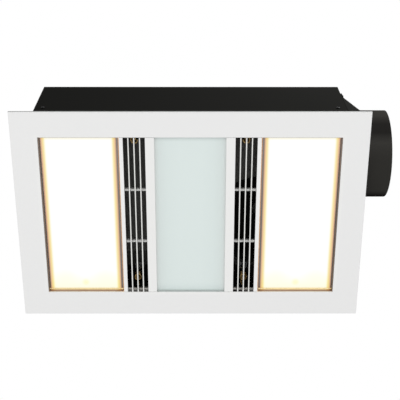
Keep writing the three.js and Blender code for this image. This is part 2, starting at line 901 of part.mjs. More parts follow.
// Ceramic holder, from its socket face along +Y
function lampHolder() {
  const halfX = lamp.holderWidth / 2;
  const halfZ = lamp.holderHeight / 2;
  const body = block([-halfX, halfX], [0, lamp.holderLength], [-halfZ, halfZ]);
  const socket = alongY(bar(lamp.tubeNeck + gap, [-overrun, lamp.socketDepth], smallSides));
  return body.subtract(socket);
}

// LED tray: a shallow pan, open below, with a tab at each end
function ledTray() {
  const halfX = led.width / 2 - led.traySide;
  const halfY = windowY - led.trayEnd;
  const top = led.trayBottom + led.trayHeight;
  const inX = halfX - led.traySheet;
  const inY = halfY - led.traySheet;
  const wallY = innerY - gap;
  const half = led.tabWidth / 2;
  const pan = block([-halfX, halfX], [-halfY, halfY], [led.trayBottom, top]);
  let tray = pan.subtract(block([-inX, inX], [-inY, inY], [led.trayBottom - overrun, top - led.traySheet]));
  for (const end of [-1, 1]) {
    const reach = [end * (halfY - weld), end * wallY].sort((a, b) => a - b);
    const turn = [end * (wallY - led.traySheet), end * wallY].sort((a, b) => a - b);
    tray = tray.add(block([-half, half], reach, [top - led.traySheet, top]));
    tray = tray.add(block([-half, half], turn, [top - led.tabDrop, top - led.traySheet + weld]));
  }
  return tray;
}

// LED board: a long plate with two rows of chips under it
function ledBoard() {
  const halfX = led.width / 2 - led.traySide - led.boardMargin;
  const halfY = windowY - led.trayEnd - led.boardMargin;
  let board = block([-halfX, halfX], [-halfY, halfY], [-led.board, 0]);
  const chipHalf = led.chip / 2;
  for (let row = 0; row < led.chipRows; row += 1) {
    const x = ((row + 0.5) / led.chipRows - 0.5) * 2 * halfX;
    for (let i = 0; i < led.chipsInRow; i += 1) {
      const y = ((i + 0.5) / led.chipsInRow - 0.5) * 2 * halfY;
      const low = -led.board - led.chipHeight;
      board = board.add(
        block([x - chipHalf, x + chipHalf], [y - chipHalf, y + chipHalf], [low, weld - led.board]),
      );
    }
  }
  return board;
}

// Fascia: border plate with a seat round its back and a lip round the window
function fasciaFrame() {
  const halfX = fascia.width / 2;
  const halfY = fascia.depth / 2;
  const cut = fascia.bevel;
  const plan = (x, y, z) => [[-x, -y, z], [x, -y, z], [x, y, z], [-x, y, z]];
  const plate = lofted([
    plan(halfX - cut, halfY - cut, faceZ),
    plan(halfX, halfY, faceZ + cut),
    plan(halfX, halfY, 0),
  ]);
  const seatX = halfX - fascia.seat;
  const seatY = halfY - fascia.seat;
  const hollow = block([-seatX, seatX], [-seatY, seatY], [backZ, overrun]);
  const lipX = windowX + fascia.lipWall;
  const lipY = windowY + fascia.lipWall;
  const lip = block([-lipX, lipX], [-lipY, lipY], [backZ - weld, fascia.lipTop]);
  const opening = block([-windowX, windowX], [-windowY, windowY], [faceZ - overrun, fascia.lipTop + overrun]);
  return plate.subtract(hollow).add(lip).subtract(opening);
}

// Right-hand grille: bands, bars and crossbars in one moulding
function sideGrille() {
  const ends = [-insertY, insertY];
  const bandTop = faceZ + grille.face;
  const ledX = led.width / 2;
  const stopX = ledGlassX + gap;
  const outerWall = grilleX - grille.wall;
  const flank = [
    [outerWall - weld, faceZ + weld],
    [grilleX, faceZ],
    [flankX, railZ - gap],
    [flankX, railTop],
    [flankX - grille.wall, railTop],
    [flankX - grille.wall, railZ - gap],
  ];
  const pieces = [
    block([ledX, firstSlotX], ends, [faceZ, bandTop]),
    block([ledX, ledX + led.restWidth], ends, [bandTop - weld, ledGlassZ - gap]),
    block([stopX, stopX + grille.wall], ends, [bandTop - weld, ledGlassZ + led.glass + gap]),
    block([firstSlotX - grille.wall, firstSlotX], ends, [bandTop - weld, barTop + weld]),
    block([lastSlotX, grilleX], ends, [faceZ, bandTop]),
    block([lastSlotX, lastSlotX + grille.wall], ends, [bandTop - weld, barTop + weld]),
    prismY(flank, ends),
  ];
  for (let i = 1; i < grille.slots; i += 1) {
    const right = firstSlotX + i * slotPitch;
    pieces.push(block([right - grille.barWidth, right], ends, [faceZ, barTop + weld]));
  }
  const across = [firstSlotX - grille.wall, flankX - grille.wall + weld];
  const crossZ = [barTop, crossbarTop];
  for (let i = 1; i <= grille.crossbars; i += 1) {
    const y = -windowY + (2 * windowY * i) / (grille.crossbars + 1);
    pieces.push(block(across, [y - grille.crossbarWidth / 2, y + grille.crossbarWidth / 2], crossZ));
  }
  pieces.push(block(across, [insertY - grille.endBarWidth, insertY], crossZ));
  pieces.push(block(across, [-insertY, grille.endBarWidth - insertY], crossZ));
  return joined(pieces);
}

// Frame round the right-hand heat glass: a channel on all four sides, whose web runs down along the
// outer side and the two ends to line the window's walls
function glassFrame() {
  const web = heat.railSheet;
  const sideX = [innerRailX, outerRailX];
  const sideY = [-insertY, insertY];
  const openX = [innerRailX + heat.railLeg, outerRailX - heat.railLeg];
  const openY = [heat.endLeg - insertY, insertY - heat.endLeg];
  const grooveX = [innerRailX + web, outerRailX - web];
  const grooveY = [web - insertY, insertY - web];
  const channel = block(sideX, sideY, [railZ, railTop])
    .subtract(block(openX, openY, [railZ - overrun, railTop + overrun]))
    .subtract(block(grooveX, grooveY, [railZ + web, railTop - web]));
  const ends = block(sideX, sideY, [faceZ + heat.endFoot, railZ + weld]).subtract(
    block([innerRailX - overrun, outerRailX + overrun], grooveY, [faceZ, railZ + overrun]),
  );
  const side = block([outerRailX - web, outerRailX], sideY, [faceZ + heat.railFoot, railZ + weld]);
  return joined([channel, ends, side]);
}

function springBracket() {
  const halfX = bracket.length / 2;
  const halfY = bracket.width / 2;
  const plate = block([-halfX, halfX], [-halfY, halfY], [-bracket.sheet, 0]);
  const tabX = bracket.sheet / 2;
  const tabY = bracket.tabWidth / 2;
  const tab = block([-tabX, tabX], [-tabY, tabY], [-bracket.tabDrop, weld - bracket.sheet]);
  const hole = alongX(bar(bracket.hole, [-overrun, overrun], smallSides));
  return plate.add(tab).subtract(moved(hole, 0, 0, bracket.holeLift - bracket.tabDrop));
}

// Steel clip over the fascia's lip, round its hole, with its lug towards -Y and its saddle on +Y
function fasciaClip() {
  const half = clip.width / 2;
  const lipIn = windowY - clipY;
  const lipOut = lipIn + fascia.lipWall;
  const top = clip.sheet;
  const outer = [lipOut + gap, lipOut + gap + clip.sheet];
  const inner = [lipIn - gap - clip.sheet, lipIn - gap];
  const plate = block([-half, half], [-clip.lug, outer[1]], [0, top]);
  const outerLeg = block([-half, half], outer, [-clip.legDrop, weld]);
  const innerLeg = block([-half, half], inner, [-clip.innerDrop, weld]);
  const hole = bar(clip.hole, [-overrun, top + overrun], smallSides);
  return joined([plate, outerLeg, innerLeg]).subtract(hole);
}

// One spring round its own axis: foot and tail to the fascia clip, curls, then a hook on top
function springPath(clipAtX, clipAtY) {
  const radius = spring.wire / 2;
  const mean = (spring.diameter - spring.wire) / 2;
  const away = Math.hypot(clipAtX, clipAtY);
  const start = Math.atan2(clipAtY, clipAtX) + Math.acos(mean / away);
  const clipHole = new THREE.Vector3(clipAtX, clipAtY, 0);
  const inward = clipHole.clone().negate().normalize();
  const footZ = clipBottom - gap - radius;
  const at = (along, z) => clipHole.clone().addScaledVector(inward, along).setZ(z);
  const firstCurl = new THREE.Vector3(mean * Math.cos(start), mean * Math.sin(start), spring.bottom);
  const tail = new THREE.CatmullRomCurve3([
    at(spring.footLength, footZ),
    at(spring.footLength / 2, footZ),
    at(0, footZ + radius),
    at(0, clipBottom + clip.sheet + spring.risePastLug),
    firstCurl,
  ]);
  const points = tail.getPoints(spring.tailSteps);
  const steps = spring.curls * spring.stepsPerCurl;
  for (let i = 1; i <= steps; i += 1) {
    const turns = i / spring.stepsPerCurl;
    const angle = start + turns * 2 * Math.PI;
    const z = spring.bottom + turns * spring.pitch;
    points.push(new THREE.Vector3(mean * Math.cos(angle), mean * Math.sin(angle), z));
  }
  const endAngle = start + spring.curls * 2 * Math.PI;
  const least = endAngle + THREE.MathUtils.degToRad(spring.leastLead);
  const hookAngle = Math.ceil(least / Math.PI) * Math.PI;
  const hookSide = Math.cos(hookAngle);
  const curlTop = spring.bottom + spring.curls * spring.pitch;
  const hookBase = hookZ - spring.hookRadius;
  for (let i = 1; i < spring.leadSteps; i += 1) {
    const share = i / spring.leadSteps;
    const angle = endAngle + share * (hookAngle - endAngle);
    const reach = mean + share * (spring.hookRadius - mean);
    const z = curlTop + share * share * (hookBase - curlTop);
    points.push(new THREE.Vector3(reach * Math.cos(angle), reach * Math.sin(angle), z));
  }
  for (let i = 0; i <= spring.hookSteps; i += 1) {
    const angle = (i / spring.hookSteps) * Math.PI;
    const x = hookSide * spring.hookRadius * Math.cos(angle);
    points.push(new THREE.Vector3(x, 0, hookBase + spring.hookRadius * Math.sin(angle)));
  }
  points.push(new THREE.Vector3(-hookSide * spring.hookRadius, 0, hookBase - spring.hookTip));
  return points;
}

// Screw along local +Z, from the face that its head sits on; the shank points down
function panScrew() {
  return turned(
    [
      [0, -screw.length],
      [screw.shank, -screw.length],
      [screw.shank, gap],
      [screw.headRadius, gap],
      [screw.headRadius, gap + screw.headHeight / 2],
      [screw.headRadius / 2, gap + screw.headHeight],
      [0, gap + screw.headHeight],
    ],
    screw.sides,
  );
}

// Terminal box: base, lid, block and cable gland
function terminalBox() {
  const halfX = terminal.length / 2;
  const halfY = terminal.width / 2;
  const wall = terminal.wall;
  const outside = block([-halfX, halfX], [-halfY, halfY], [0, terminal.height]);
  const rim = terminal.height + overrun;
  const inside = block([wall - halfX, halfX - wall], [wall - halfY, halfY - wall], [wall, rim]);
  const wireHole = bar(terminal.wireHole, [-overrun, wall + overrun], roundSides);
  const glandHole = alongX(bar(gland.thread + gap, [-overrun, wall + overrun], gland.sides));
  return outside
    .subtract(inside)
    .subtract(moved(wireHole, terminal.wireHoleShift, 0, 0))
    .subtract(moved(glandHole, -halfX, 0, glandZ));
}

function terminalLid() {
  const halfX = terminal.length / 2;
  const halfY = terminal.width / 2;
  const lipX = halfX - terminal.wall - gap;
  const lipY = halfY - terminal.wall - gap;
  const wall = terminal.wall;
  const plate = block([-halfX, halfX], [-halfY, halfY], [0, terminal.lid]);
  const lip = block([-lipX, lipX], [-lipY, lipY], [-terminal.lidLip, weld]);
  const hollowZ = [-terminal.lidLip - overrun, 0];
  const hollow = block([wall - lipX, lipX - wall], [wall - lipY, lipY - wall], hollowZ);
  return plate.add(lip.subtract(hollow));
}

function terminalBlock() {
  const halfX = terminal.blockLength / 2;
  const halfY = terminal.blockWidth / 2;
  let body = block([-halfX, halfX], [-halfY, halfY], [0, terminal.blockHeight]);
  const depth = [terminal.blockHeight - terminal.blockScrewDepth, terminal.blockHeight + overrun];
  const hole = bar(terminal.blockScrew, depth, screw.sides);
  for (let i = 0; i < terminal.blockWays; i += 1) {
    const x = ((i + 0.5) / terminal.blockWays - 0.5) * terminal.blockLength;
    for (const y of [-halfY / 2, halfY / 2]) body = body.subtract(moved(hole, x, y, 0));
  }
  return body;
}

// Gland along local +Z, from the inside of the box out: nut, thread, collar and dome
function cableGland() {
  const wallOut = terminal.wall + gap;
  const collarEnd = wallOut + gland.collarLength;
  return turned(
    [
      [gland.bore, -gap - gland.nutLength],
      [gland.nut, -gap - gland.nutLength],
      [gland.nut, -gap],
      [gland.thread, -gap],
      [gland.thread, wallOut],
      [gland.collar, wallOut],
      [gland.collar, collarEnd],
      [gland.domeRadius, collarEnd],
      [gland.thread, collarEnd + gland.domeLength],
      [gland.bore, collarEnd + gland.domeLength],
    ],
    gland.sides,
  );
}

// The heater at rest: the housing carries the fan, the damper and the fascia
const heater = new THREE.Group();
const housingBody = addGroup(heater, 0, 0, 0);
const impellerBody = addGroup(heater, fanX, fanY, wheelBottom);
const damperBody = addGroup(heater, pinX, ductY, pinZ);
const fasciaBody = addGroup(heater, 0, 0, 0);
const sides = [
  ["left", -1],
  ["right", 1],
];
const ends = [
  ["front", -1],
  ["rear", 1],
];

// Housing, deck and their screws
addPart(housingBody, "housing_shell", housingShell(), blackSteel);
addPart(housingBody, "fan_deck", fanDeck(), blackSteel);
const downwards = (solid) => solid.rotate([180, 0, 0]);
for (const [endName, end] of ends) {
  for (const [sideName, side] of sides) {
    const outwards = end > 0 ? alongY(panScrew()) : alongY(downwards(panScrew()));
    const name = `wall_screw_${endName}_${sideName}`;
    addPart(housingBody, name, outwards, blackSteel, side * deckScrewX, end * outerY, deckScrewZ);
  }
}

// Fan and motor
const fanBase = addGroup(housingBody, fanX, fanY, deckTop);
addPart(fanBase, "inlet_ring", inletRing(), blackSteel, 0, 0, gap);
addPart(fanBase, "fan_scroll", scrollCasing(), galvanised);
addPart(fanBase, "motor_mount_plate", motorMount(), galvanised, 0, 0, scrollTop - deckTop + gap);
addPart(fanBase, "fan_motor", motorCan(), castAlloy, 0, 0, motorBottom - deckTop);
addPart(impellerBody, "impeller_wheel", impellerWheel(), blackPlastic);
addPart(impellerBody, "impeller_plate", impellerPlate(), blackPlastic);
addPart(impellerBody, "impeller_hub", impellerHub(), bareSteel);
addPart(impellerBody, "motor_shaft", motorShaft(), bareSteel);

// Electrical pieces on the deck
const deckSeat = deckTop + gap;
addPart(housingBody, "motor_capacitor", motorCapacitor(), greyPlastic, capacitorX, capacitorY, deckSeat);
addPart(housingBody, "led_driver", ledDriver(), whitePlastic, driverX, driverY, deckSeat);

// Duct adaptor and backdraft damper
addPart(housingBody, "duct_adaptor", ductAdaptor(), blackPlastic, ductX, ductY, duct.axisHeight);
const damperSeat = addGroup(housingBody, ductX, ductY, 0);
addPart(damperSeat, "damper_frame", damperFrame(), galvanised);
addPart(damperSeat, "damper_pin", damperPin(), bareSteel, damper.knuckleRadius, 0, pinZ);
addPart(damperBody, "backdraft_flap", backdraftFlap(), galvanised);
for (const [levelName, level] of [["lower", -1], ["upper", 1]]) {
  for (const [endName, end] of ends) {
    const y = ductY + end * adaptorScrew;
    const z = duct.axisHeight + level * adaptorScrew;
    const name = `adaptor_screw_${levelName}_${endName}`;
    addPart(housingBody, name, alongX(panScrew()), blackSteel, ductX + duct.flangeSheet, y, z);
  }
}

// Terminal box on top
const boxBase = addGroup(housingBody, terminalX, terminalY, housing.height + gap);
const blockX = terminal.blockShift;
addPart(boxBase, "terminal_box", terminalBox(), blackPlastic);
addPart(boxBase, "terminal_lid", terminalLid(), blackPlastic, 0, 0, terminal.height + gap);
addPart(boxBase, "terminal_block", terminalBlock(), whitePlastic, blockX, 0, terminal.wall + gap);
const glandOut = alongX(cableGland()).rotate([0, 180, 0]);
const glandX = terminal.wall - terminal.length / 2;
addPart(boxBase, "cable_gland", glandOut, blackPlastic, glandX, 0, glandZ);

// Lamps above the heat windows
for (const [sideName, side] of sides) {
  const x = side * heatMiddleX;
  const reflector = `lamp_reflector_${sideName}`;
  addPart(housingBody, reflector, lampReflector(), reflectorMetal, x, 0, lamp.troughBottom);
  addPart(housingBody, `lamp_tube_${sideName}`, lampTube(), quartz, x, 0, lampZ);
  for (const [endName, end] of ends) {
    const holder = end > 0 ? lampHolder() : lampHolder().rotate([0, 0, 180]);
    addPart(housingBody, `lamp_holder_${sideName}_${endName}`, holder, ceramic, x, end * holderY, lampZ);
  }
}

// Light in the middle
addPart(housingBody, "led_tray", ledTray(), galvanised);
const boardTop = led.trayBottom + led.trayHeight - led.traySheet - gap;
addPart(housingBody, "led_board", ledBoard(), circuitBoard, 0, 0, boardTop);

// Fascia with its glass, grilles and glass frames
addPart(fasciaBody, "fascia_frame", fasciaFrame(), whitePlastic);
const diffuser = block([-ledGlassX, ledGlassX], [-insertY, insertY], [ledGlassZ, ledGlassZ + led.glass]);
addPart(fasciaBody, "led_diffuser", diffuser, frostedGlass);
const heatGlassZ = railZ + heat.railSheet + gap;
const paneZ = [heatGlassZ, heatGlassZ + heat.glass];
const heatPane = block([heatGlassLeft, heatGlassRight], [-heatGlassY, heatGlassY], paneZ);
for (const [sideName, side] of sides) {
  const turn = side > 0 ? 0 : 180;
  const grilleSolid = sideGrille().rotate([0, 0, turn]);
  addPart(fasciaBody, `grille_${sideName}`, grilleSolid, whitePlastic);
  addPart(fasciaBody, `heat_glass_${sideName}`, heatPane.rotate([0, 0, turn]), heatGlass);
  addPart(fasciaBody, `glass_frame_${sideName}`, glassFrame().rotate([0, 0, turn]), railMetal);
}

// Springs between the deck and the fascia
let leastSpringGap = Infinity;
for (const [endName, end] of ends) {
  for (const [sideName, side] of sides) {
    const place = `${endName}_${sideName}`;
    const x = side * spring.x;
    const y = end * springY;
    const clipSolid = end > 0 ? fasciaClip() : fasciaClip().rotate([0, 0, 180]);
    const wirePoints = springPath(-side * clip.inset, end * clip.outset);
    const springSolid = wireThrough(wirePoints, spring.wire / 2, spring.wireSides);
    leastSpringGap = Math.min(leastSpringGap, leastGapToItself(wirePoints, spring.wire / 2));
    addPart(housingBody, `spring_bracket_${place}`, springBracket(), galvanised, x, y, bracketTop);
    addPart(housingBody, `fascia_spring_${place}`, springSolid, springSteel, x, y, 0);
    addPart(fasciaBody, `fascia_clip_${place}`, clipSolid, blackSteel, side * clipX, end * clipY, clipBottom);
  }
}
console.log(`fascia springs: least gap of a wire to itself ${leastSpringGap.toFixed(2)} mm`);

export default heater;
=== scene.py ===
"""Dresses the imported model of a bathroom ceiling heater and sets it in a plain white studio.

Sizes in the classes are millimetres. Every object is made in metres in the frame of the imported
model: the origin is the middle of the ceiling opening, +Z goes up, +X points to the duct spigot and
-Y to the front edge.
"""

import functools
import itertools
import logging
import math
from collections.abc import Callable, Sequence
from dataclasses import dataclass
from enum import Enum

import bmesh
import bpy
from mathutils import Matrix, Vector


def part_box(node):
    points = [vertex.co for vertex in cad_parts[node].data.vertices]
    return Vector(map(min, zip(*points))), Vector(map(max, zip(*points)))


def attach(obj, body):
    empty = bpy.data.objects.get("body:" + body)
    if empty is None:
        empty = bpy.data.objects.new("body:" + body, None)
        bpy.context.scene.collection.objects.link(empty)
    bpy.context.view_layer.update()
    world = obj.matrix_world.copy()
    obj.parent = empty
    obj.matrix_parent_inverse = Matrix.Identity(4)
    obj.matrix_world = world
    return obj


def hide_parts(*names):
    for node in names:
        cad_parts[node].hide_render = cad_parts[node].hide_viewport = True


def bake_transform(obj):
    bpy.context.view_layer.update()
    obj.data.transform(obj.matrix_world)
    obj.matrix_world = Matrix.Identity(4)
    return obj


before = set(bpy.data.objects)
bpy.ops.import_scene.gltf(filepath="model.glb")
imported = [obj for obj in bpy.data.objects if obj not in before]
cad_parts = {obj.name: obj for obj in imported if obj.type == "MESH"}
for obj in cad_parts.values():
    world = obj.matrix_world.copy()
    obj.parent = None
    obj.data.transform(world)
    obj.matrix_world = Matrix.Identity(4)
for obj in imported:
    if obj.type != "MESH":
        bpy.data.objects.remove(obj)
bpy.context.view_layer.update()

log = logging.getLogger("heater")

MM = 0.001
GAP = 0.3  # air left between pieces that touch on the real heater
SHARP_DEGREES = 35.0  # edges that turn more than this keep a crisp shading
FLAT_DEGREES = 0.2  # faces that turn less than this are joined before their edges are rounded
WELD = 1e-6  # metres between corners that become one
ROUNDING_STEPS = 2
COLOR_A, COLOR_B, COLOR_OUT = 6, 7, 2  # sockets of a Mix node that mixes colours

Point = tuple[float, float, float]
Face = tuple[int, ...]
Skin = tuple[list[Point], list[Face]]
Stops = tuple[tuple[float, str], ...]
Tree = bpy.types.NodeTree
Socket = bpy.types.NodeSocket
Color = tuple[float, float, float, float]


# Nodes and colours


def linear(color: str, level: float = 1.0) -> Color:
    """Turns an sRGB hex colour into linear RGBA.

    Args:
        color: Six hex digits.
        level: Factor on the linear values.

    Returns:
        Red, green, blue and an alpha of 1.
    """
    shares = [int(color[i : i + 2], 16) / 255 for i in (0, 2, 4)]
    flat = [c / 12.92 if c <= 0.04045 else ((c + 0.055) / 1.055) ** 2.4 for c in shares]
    return (*(min(c * level, 1.0) for c in flat), 1.0)


def add_node(
    tree: Tree, kind: str, values: dict | None = None, links: dict | None = None, **settings
) -> bpy.types.Node:
    """Adds one node with its settings and links.

    Args:
        tree: Node tree that takes it.
        kind: Blender's name of the node's type.
        values: Values by the name or number of the input that they set.
        links: Output sockets by the name or number of the input that they feed.
        **settings: Properties of the node itself.

    Returns:
        The new node.
    """
    node = tree.nodes.new(kind)
    for name, value in settings.items():
        setattr(node, name, value)
    for key, value in (values or {}).items():
        node.inputs[key].default_value = value
    for key, socket in (links or {}).items():
        tree.links.new(socket, node.inputs[key])
    return node


def color_along(
    tree: Tree, distance: Socket, stops: Stops, origin: float = 0.0, way: int = 1
) -> Socket:
    """Colours by a distance.

    Args:
        tree: The material's node tree.
        distance: Metres.
        stops: Millimetres from the origin, in order, with their colours.
        origin: Where the stops start to count, in millimetres.
        way: 1 where they count up along the distance, or -1 where they count down.

    Returns:
        The colour socket.
    """
    first, last = stops[0][0], stops[-1][0]
    limits = {"From Min": (origin + way * first) * MM, "From Max": (origin + way * last) * MM}
    share = add_node(tree, "ShaderNodeMapRange", limits, {"Value": distance})
    made = add_node(tree, "ShaderNodeValToRGB", links={0: share.outputs[0]})
    elements = made.color_ramp.elements
    while len(elements) > 1:
        elements.remove(elements[-1])
    for number, (mm, color) in enumerate(stops):
        place = (mm - first) / (last - first)
        element = elements.new(place) if number else elements[0]
        element.position = place
        element.color = linear(color)
    return made.outputs[0]


def empty_material(name: str) -> bpy.types.Material:
    """Adds a material whose node tree is still empty.

    Args:
        name: Name of the material.

    Returns:
        The material.
    """
    made = bpy.data.materials.new(name)
    made.use_nodes = True
    made.node_tree.nodes.clear()
    return made


class Pattern(Enum):
    """How a finish varies over its surface."""

    GRAIN = "even grain in every direction"
    BRUSHED = "long fine lines along Y"
    CRYSTALS = "flat crystals with grain on them"


@dataclass(frozen=True)
class Zone:
    """A stretch of a surface whose colour changes with height, to paint light or shade on it, such as the
    painted shade inside the slots.
    """

    stops: Stops  # height and the colour there
    x_from: float = 0.0  # from the heater's middle to either side
    x_to: float = 1000.0
    y_from: float = -1000.0
    y_to: float = 1000.0

    def over(self, tree: Tree, place: Socket, color: Socket) -> Socket:
        """Lays the zone over a colour.

        Args:
            tree: The material's node tree.
            place: Coordinates in metres.
            color: The colour outside the zone.

        Returns:
            The colour inside and outside it.
        """
        axes = add_node(tree, "ShaderNodeSeparateXYZ", links={0: place})
        across = add_node(tree, "ShaderNodeMath", links={0: axes.outputs[0]}, operation="ABSOLUTE")
        inside = None
        for socket, test, limit in (
            (across.outputs[0], "GREATER_THAN", self.x_from),
            (across.outputs[0], "LESS_THAN", self.x_to),
            (axes.outputs[1], "GREATER_THAN", self.y_from),
            (axes.outputs[1], "LESS_THAN", self.y_to),
        ):
            held = add_node(tree, "ShaderNodeMath", {1: limit * MM}, {0: socket}, operation=test).outputs[0]
            if inside:
                both = {0: inside, 1: held}
                held = add_node(tree, "ShaderNodeMath", links=both, operation="MULTIPLY").outputs[0]
            inside = held
        shown = color_along(tree, axes.outputs[2], self.stops)
        links = {0: inside, COLOR_A: color, COLOR_B: shown}
        return add_node(tree, "ShaderNodeMix", links=links, data_type="RGBA").outputs[COLOR_OUT]


@dataclass(frozen=True)
class Finish:
    """A surface: its colour, its gloss and its fine structure at true scale."""

    name: str
    slot: str
    color: str
    roughness: float
    metallic: float = 0.0
    specular: float = 0.5
    transmission: float = 0.0
    pattern: Pattern = Pattern.GRAIN
    grain: float = 0.6  # size of one grain
    octaves: float = 3.0  # finer layers of the grain
    falloff: float = 0.55  # strength of each layer, as a share of the one before
    line: float = 0.02  # scale along Y where it is brushed
    crystal: float = 12.0  # size of one crystal, in grains
    crystal_share: float = 0.7  # of the pattern that the crystals make
    tone: float = 0.03  # how far the colour wanders, as a share
    gloss: float = 0.04  # how far the roughness wanders
    relief: float = 0.01  # depth of the grain
    bump: float = 0.6  # how strongly that depth shows
    # painted light and shade, laid over the colour by height
    zones: tuple[Zone, ...] = ()

    def height(self, tree: Tree, place: Socket) -> Socket:
        """Adds the texture that colour, gloss and relief follow.

        Args:
            tree: The material's node tree.
            place: Coordinates in metres.

        Returns:
            A socket with values from 0 to 1.
        """
        scale = 1 / (self.grain * MM)
        if self.pattern is Pattern.BRUSHED:
            stretch = {"Scale": (1.0, self.line, 1.0)}
            place = add_node(tree, "ShaderNodeMapping", stretch, {"Vector": place}).outputs[0]
        noise = {"Scale": scale, "Detail": self.octaves, "Roughness": self.falloff}
        grain = add_node(tree, "ShaderNodeTexNoise", noise, {"Vector": place}).outputs[0]
        if self.pattern is not Pattern.CRYSTALS:
            return grain
        size = {"Scale": scale / self.crystal}
        flakes = add_node(tree, "ShaderNodeTexVoronoi", size, {"Vector": place}).outputs["Color"]
        flake = add_node(tree, "ShaderNodeSeparateColor", links={0: flakes}).outputs[0]
        return add_node(tree, "ShaderNodeMix", {0: self.crystal_share}, {2: grain, 3: flake}).outputs[0]

    def material(self) -> bpy.types.Material:
        """Builds the material.

        Returns:
            The material, with a Principled shader.
        """
        made = empty_material(self.name)
        tree = made.node_tree
        place = add_node(tree, "ShaderNodeTexCoord").outputs["Object"]
        height = self.height(tree, place)
        dark, light = linear(self.color, 1 - self.tone), linear(self.color, 1 + self.tone)
        tones = {COLOR_A: dark, COLOR_B: light}
        color = add_node(tree, "ShaderNodeMix", tones, {0: height}, data_type="RGBA").outputs[COLOR_OUT]
        for zone in self.zones:
            color = zone.over(tree, place, color)
        ends = {"To Min": max(self.roughness - self.gloss, 0.0), "To Max": self.roughness + self.gloss}
        rough = add_node(tree, "ShaderNodeMapRange", ends, {"Value": height})
        depth = {"Strength": self.bump, "Distance": self.relief * MM}
        bump = add_node(tree, "ShaderNodeBump", depth, {"Height": height})
        values = {
            "Metallic": self.metallic,
            "Specular IOR Level": self.specular,
            "Transmission Weight": self.transmission,
        }
        links = {"Base Color": color, "Roughness": rough.outputs[0], "Normal": bump.outputs[0]}
        shader = add_node(tree, "ShaderNodeBsdfPrincipled", values, links)
        add_node(tree, "ShaderNodeOutputMaterial", links={0: shader.outputs[0]})
        return made


@dataclass(frozen=True)
class EdgedGlass:
    """Frosted glass whose colour changes towards its edges, as painted shade or a painted lamp glow, with
    or without a lamp behind it.
    """

    name: str
    slot: str
    middle: float  # of the window, from the heater's middle along X
    half_width: float  # of the glass that shows
    half_length: float
    side_stops: Stops  # distance from a long edge and the colour there
    front_stops: Stops
    rear_stops: Stops
    roughness: float
    specular: float
    lobe: float = 0.0  # how far the tint of the rear edge swings along Y
    lobe_width: float = 70.0
    lobe_start: float = 4.0  # from the rear edge, where it starts to swing
    lobe_full: float = 20.0  # where it swings the whole way
    # painted hot spot of the lamp's glow near its end
    spot_stops: Stops = ()  # distance from the lamp's end and the colour there
    spot_back: float = 11.5  # the lamp's end, from the rear edge
    # where the lamp's light is painted as the glass's own glow
    lit: bool = False
    body_color: str = "12110f"  # of lit glass, under its glow

    def tint(self, tree: Tree) -> Socket:
        """Multiplies the colours that the edges give.

        Args:
            tree: The material's node tree.

        Returns:
            The colour socket.
        """
        place = add_node(tree, "ShaderNodeTexCoord").outputs["Object"]
        axes = add_node(tree, "ShaderNodeSeparateXYZ", links={0: place})
        across, along = axes.outputs[0], axes.outputs[1]
        for step, value in (("ABSOLUTE", 0.0), ("SUBTRACT", self.middle * MM), ("ABSOLUTE", 0.0)):
            across = add_node(tree, "ShaderNodeMath", {1: value}, {0: across}, operation=step).outputs[0]
        color = color_along(tree, across, self.side_stops, self.half_width, -1)
        tints = [color_along(tree, along, self.front_stops, -self.half_length)]
        if self.spot_stops:
            flat = add_node(tree, "ShaderNodeCombineXYZ", links={0: across, 1: along}).outputs[0]
            end = {1: (0.0, (self.half_length - self.spot_back) * MM, 0.0)}
            away = add_node(tree, "ShaderNodeVectorMath", end, {0: flat}, operation="DISTANCE")
            tints.append(color_along(tree, away.outputs["Value"], self.spot_stops))
        if self.lobe:
            turn = across
            for step, value in (("MULTIPLY", 2 * math.pi / (self.lobe_width * MM)), ("COSINE", 0.0)):
                turn = add_node(tree, "ShaderNodeMath", {1: value}, {0: turn}, operation=step).outputs[0]
            swing = {
                "From Min": (self.half_length - self.lobe_start) * MM,
                "From Max": (self.half_length - self.lobe_full) * MM,
                "To Max": -self.lobe * MM,
            }
            reach = add_node(tree, "ShaderNodeMapRange", swing, {"Value": along}).outputs[0]
            links = {0: turn, 1: reach, 2: along}
            along = add_node(tree, "ShaderNodeMath", links=links, operation="MULTIPLY_ADD").outputs[0]
        tints.append(color_along(tree, along, self.rear_stops, self.half_length, -1))
        kind = {"data_type": "RGBA", "blend_type": "MULTIPLY"}
        for tint in tints:
            links = {COLOR_A: color, COLOR_B: tint}
            color = add_node(tree, "ShaderNodeMix", {0: 1.0}, links, **kind).outputs[COLOR_OUT]
        return color

    def material(self) -> bpy.types.Material:
        """Builds the material.

        Returns:
            The material, which glows in the tint where a lamp is behind it: the lamp's light painted as its
            own glow.
        """
        made = empty_material(self.name)
        values = {"Roughness": self.roughness, "Specular IOR Level": self.specular}
        shown = "Base Color"
        if self.lit:
            values |= {"Base Color": linear(self.body_color), "Emission Strength": 1.0}
            shown = "Emission Color"
        links = {shown: self.tint(made.node_tree)}
        shader = add_node(made.node_tree, "ShaderNodeBsdfPrincipled", values, links)
        add_node(made.node_tree, "ShaderNodeOutputMaterial", links={0: shader.outputs[0]})
        return made


@functools.cache
def material_of(finish: Finish | EdgedGlass) -> bpy.types.Material:
    """Builds a finish's material once and hands it out again."""
    return finish.material()


# Powder coat on folded steel: flat black with a fine orange peel that breaks up highlights
BLACK_COAT = Finish("powder-coated steel, black", "black_steel", "191918", 0.62, specular=0.0, grain=0.9)
# The same coat on the deck, lightened to grey as painted light where it shows through the slots, with
# painted shade at the rear
DECK_COAT = Finish(
    "powder-coated steel, deck", "black_steel", "5c5c5a", 0.6, specular=0.1, grain=0.9,
    zones=(
        # painted shade of the rear wall, in two steps
        Zone(((60.0, "40403e"), (80.0, "40403e")), y_from=100.0),
        Zone(((60.0, "161615"), (80.0, "161615")), y_from=128.0),
    ),
)  # fmt: skip
# Black zinc on small steel pieces: darker, with a soft gloss
BLACK_ZINC = Finish("black zinc on steel", "black_steel", "0e0e0f", 0.42, 0.6, specular=0.2, grain=0.2)
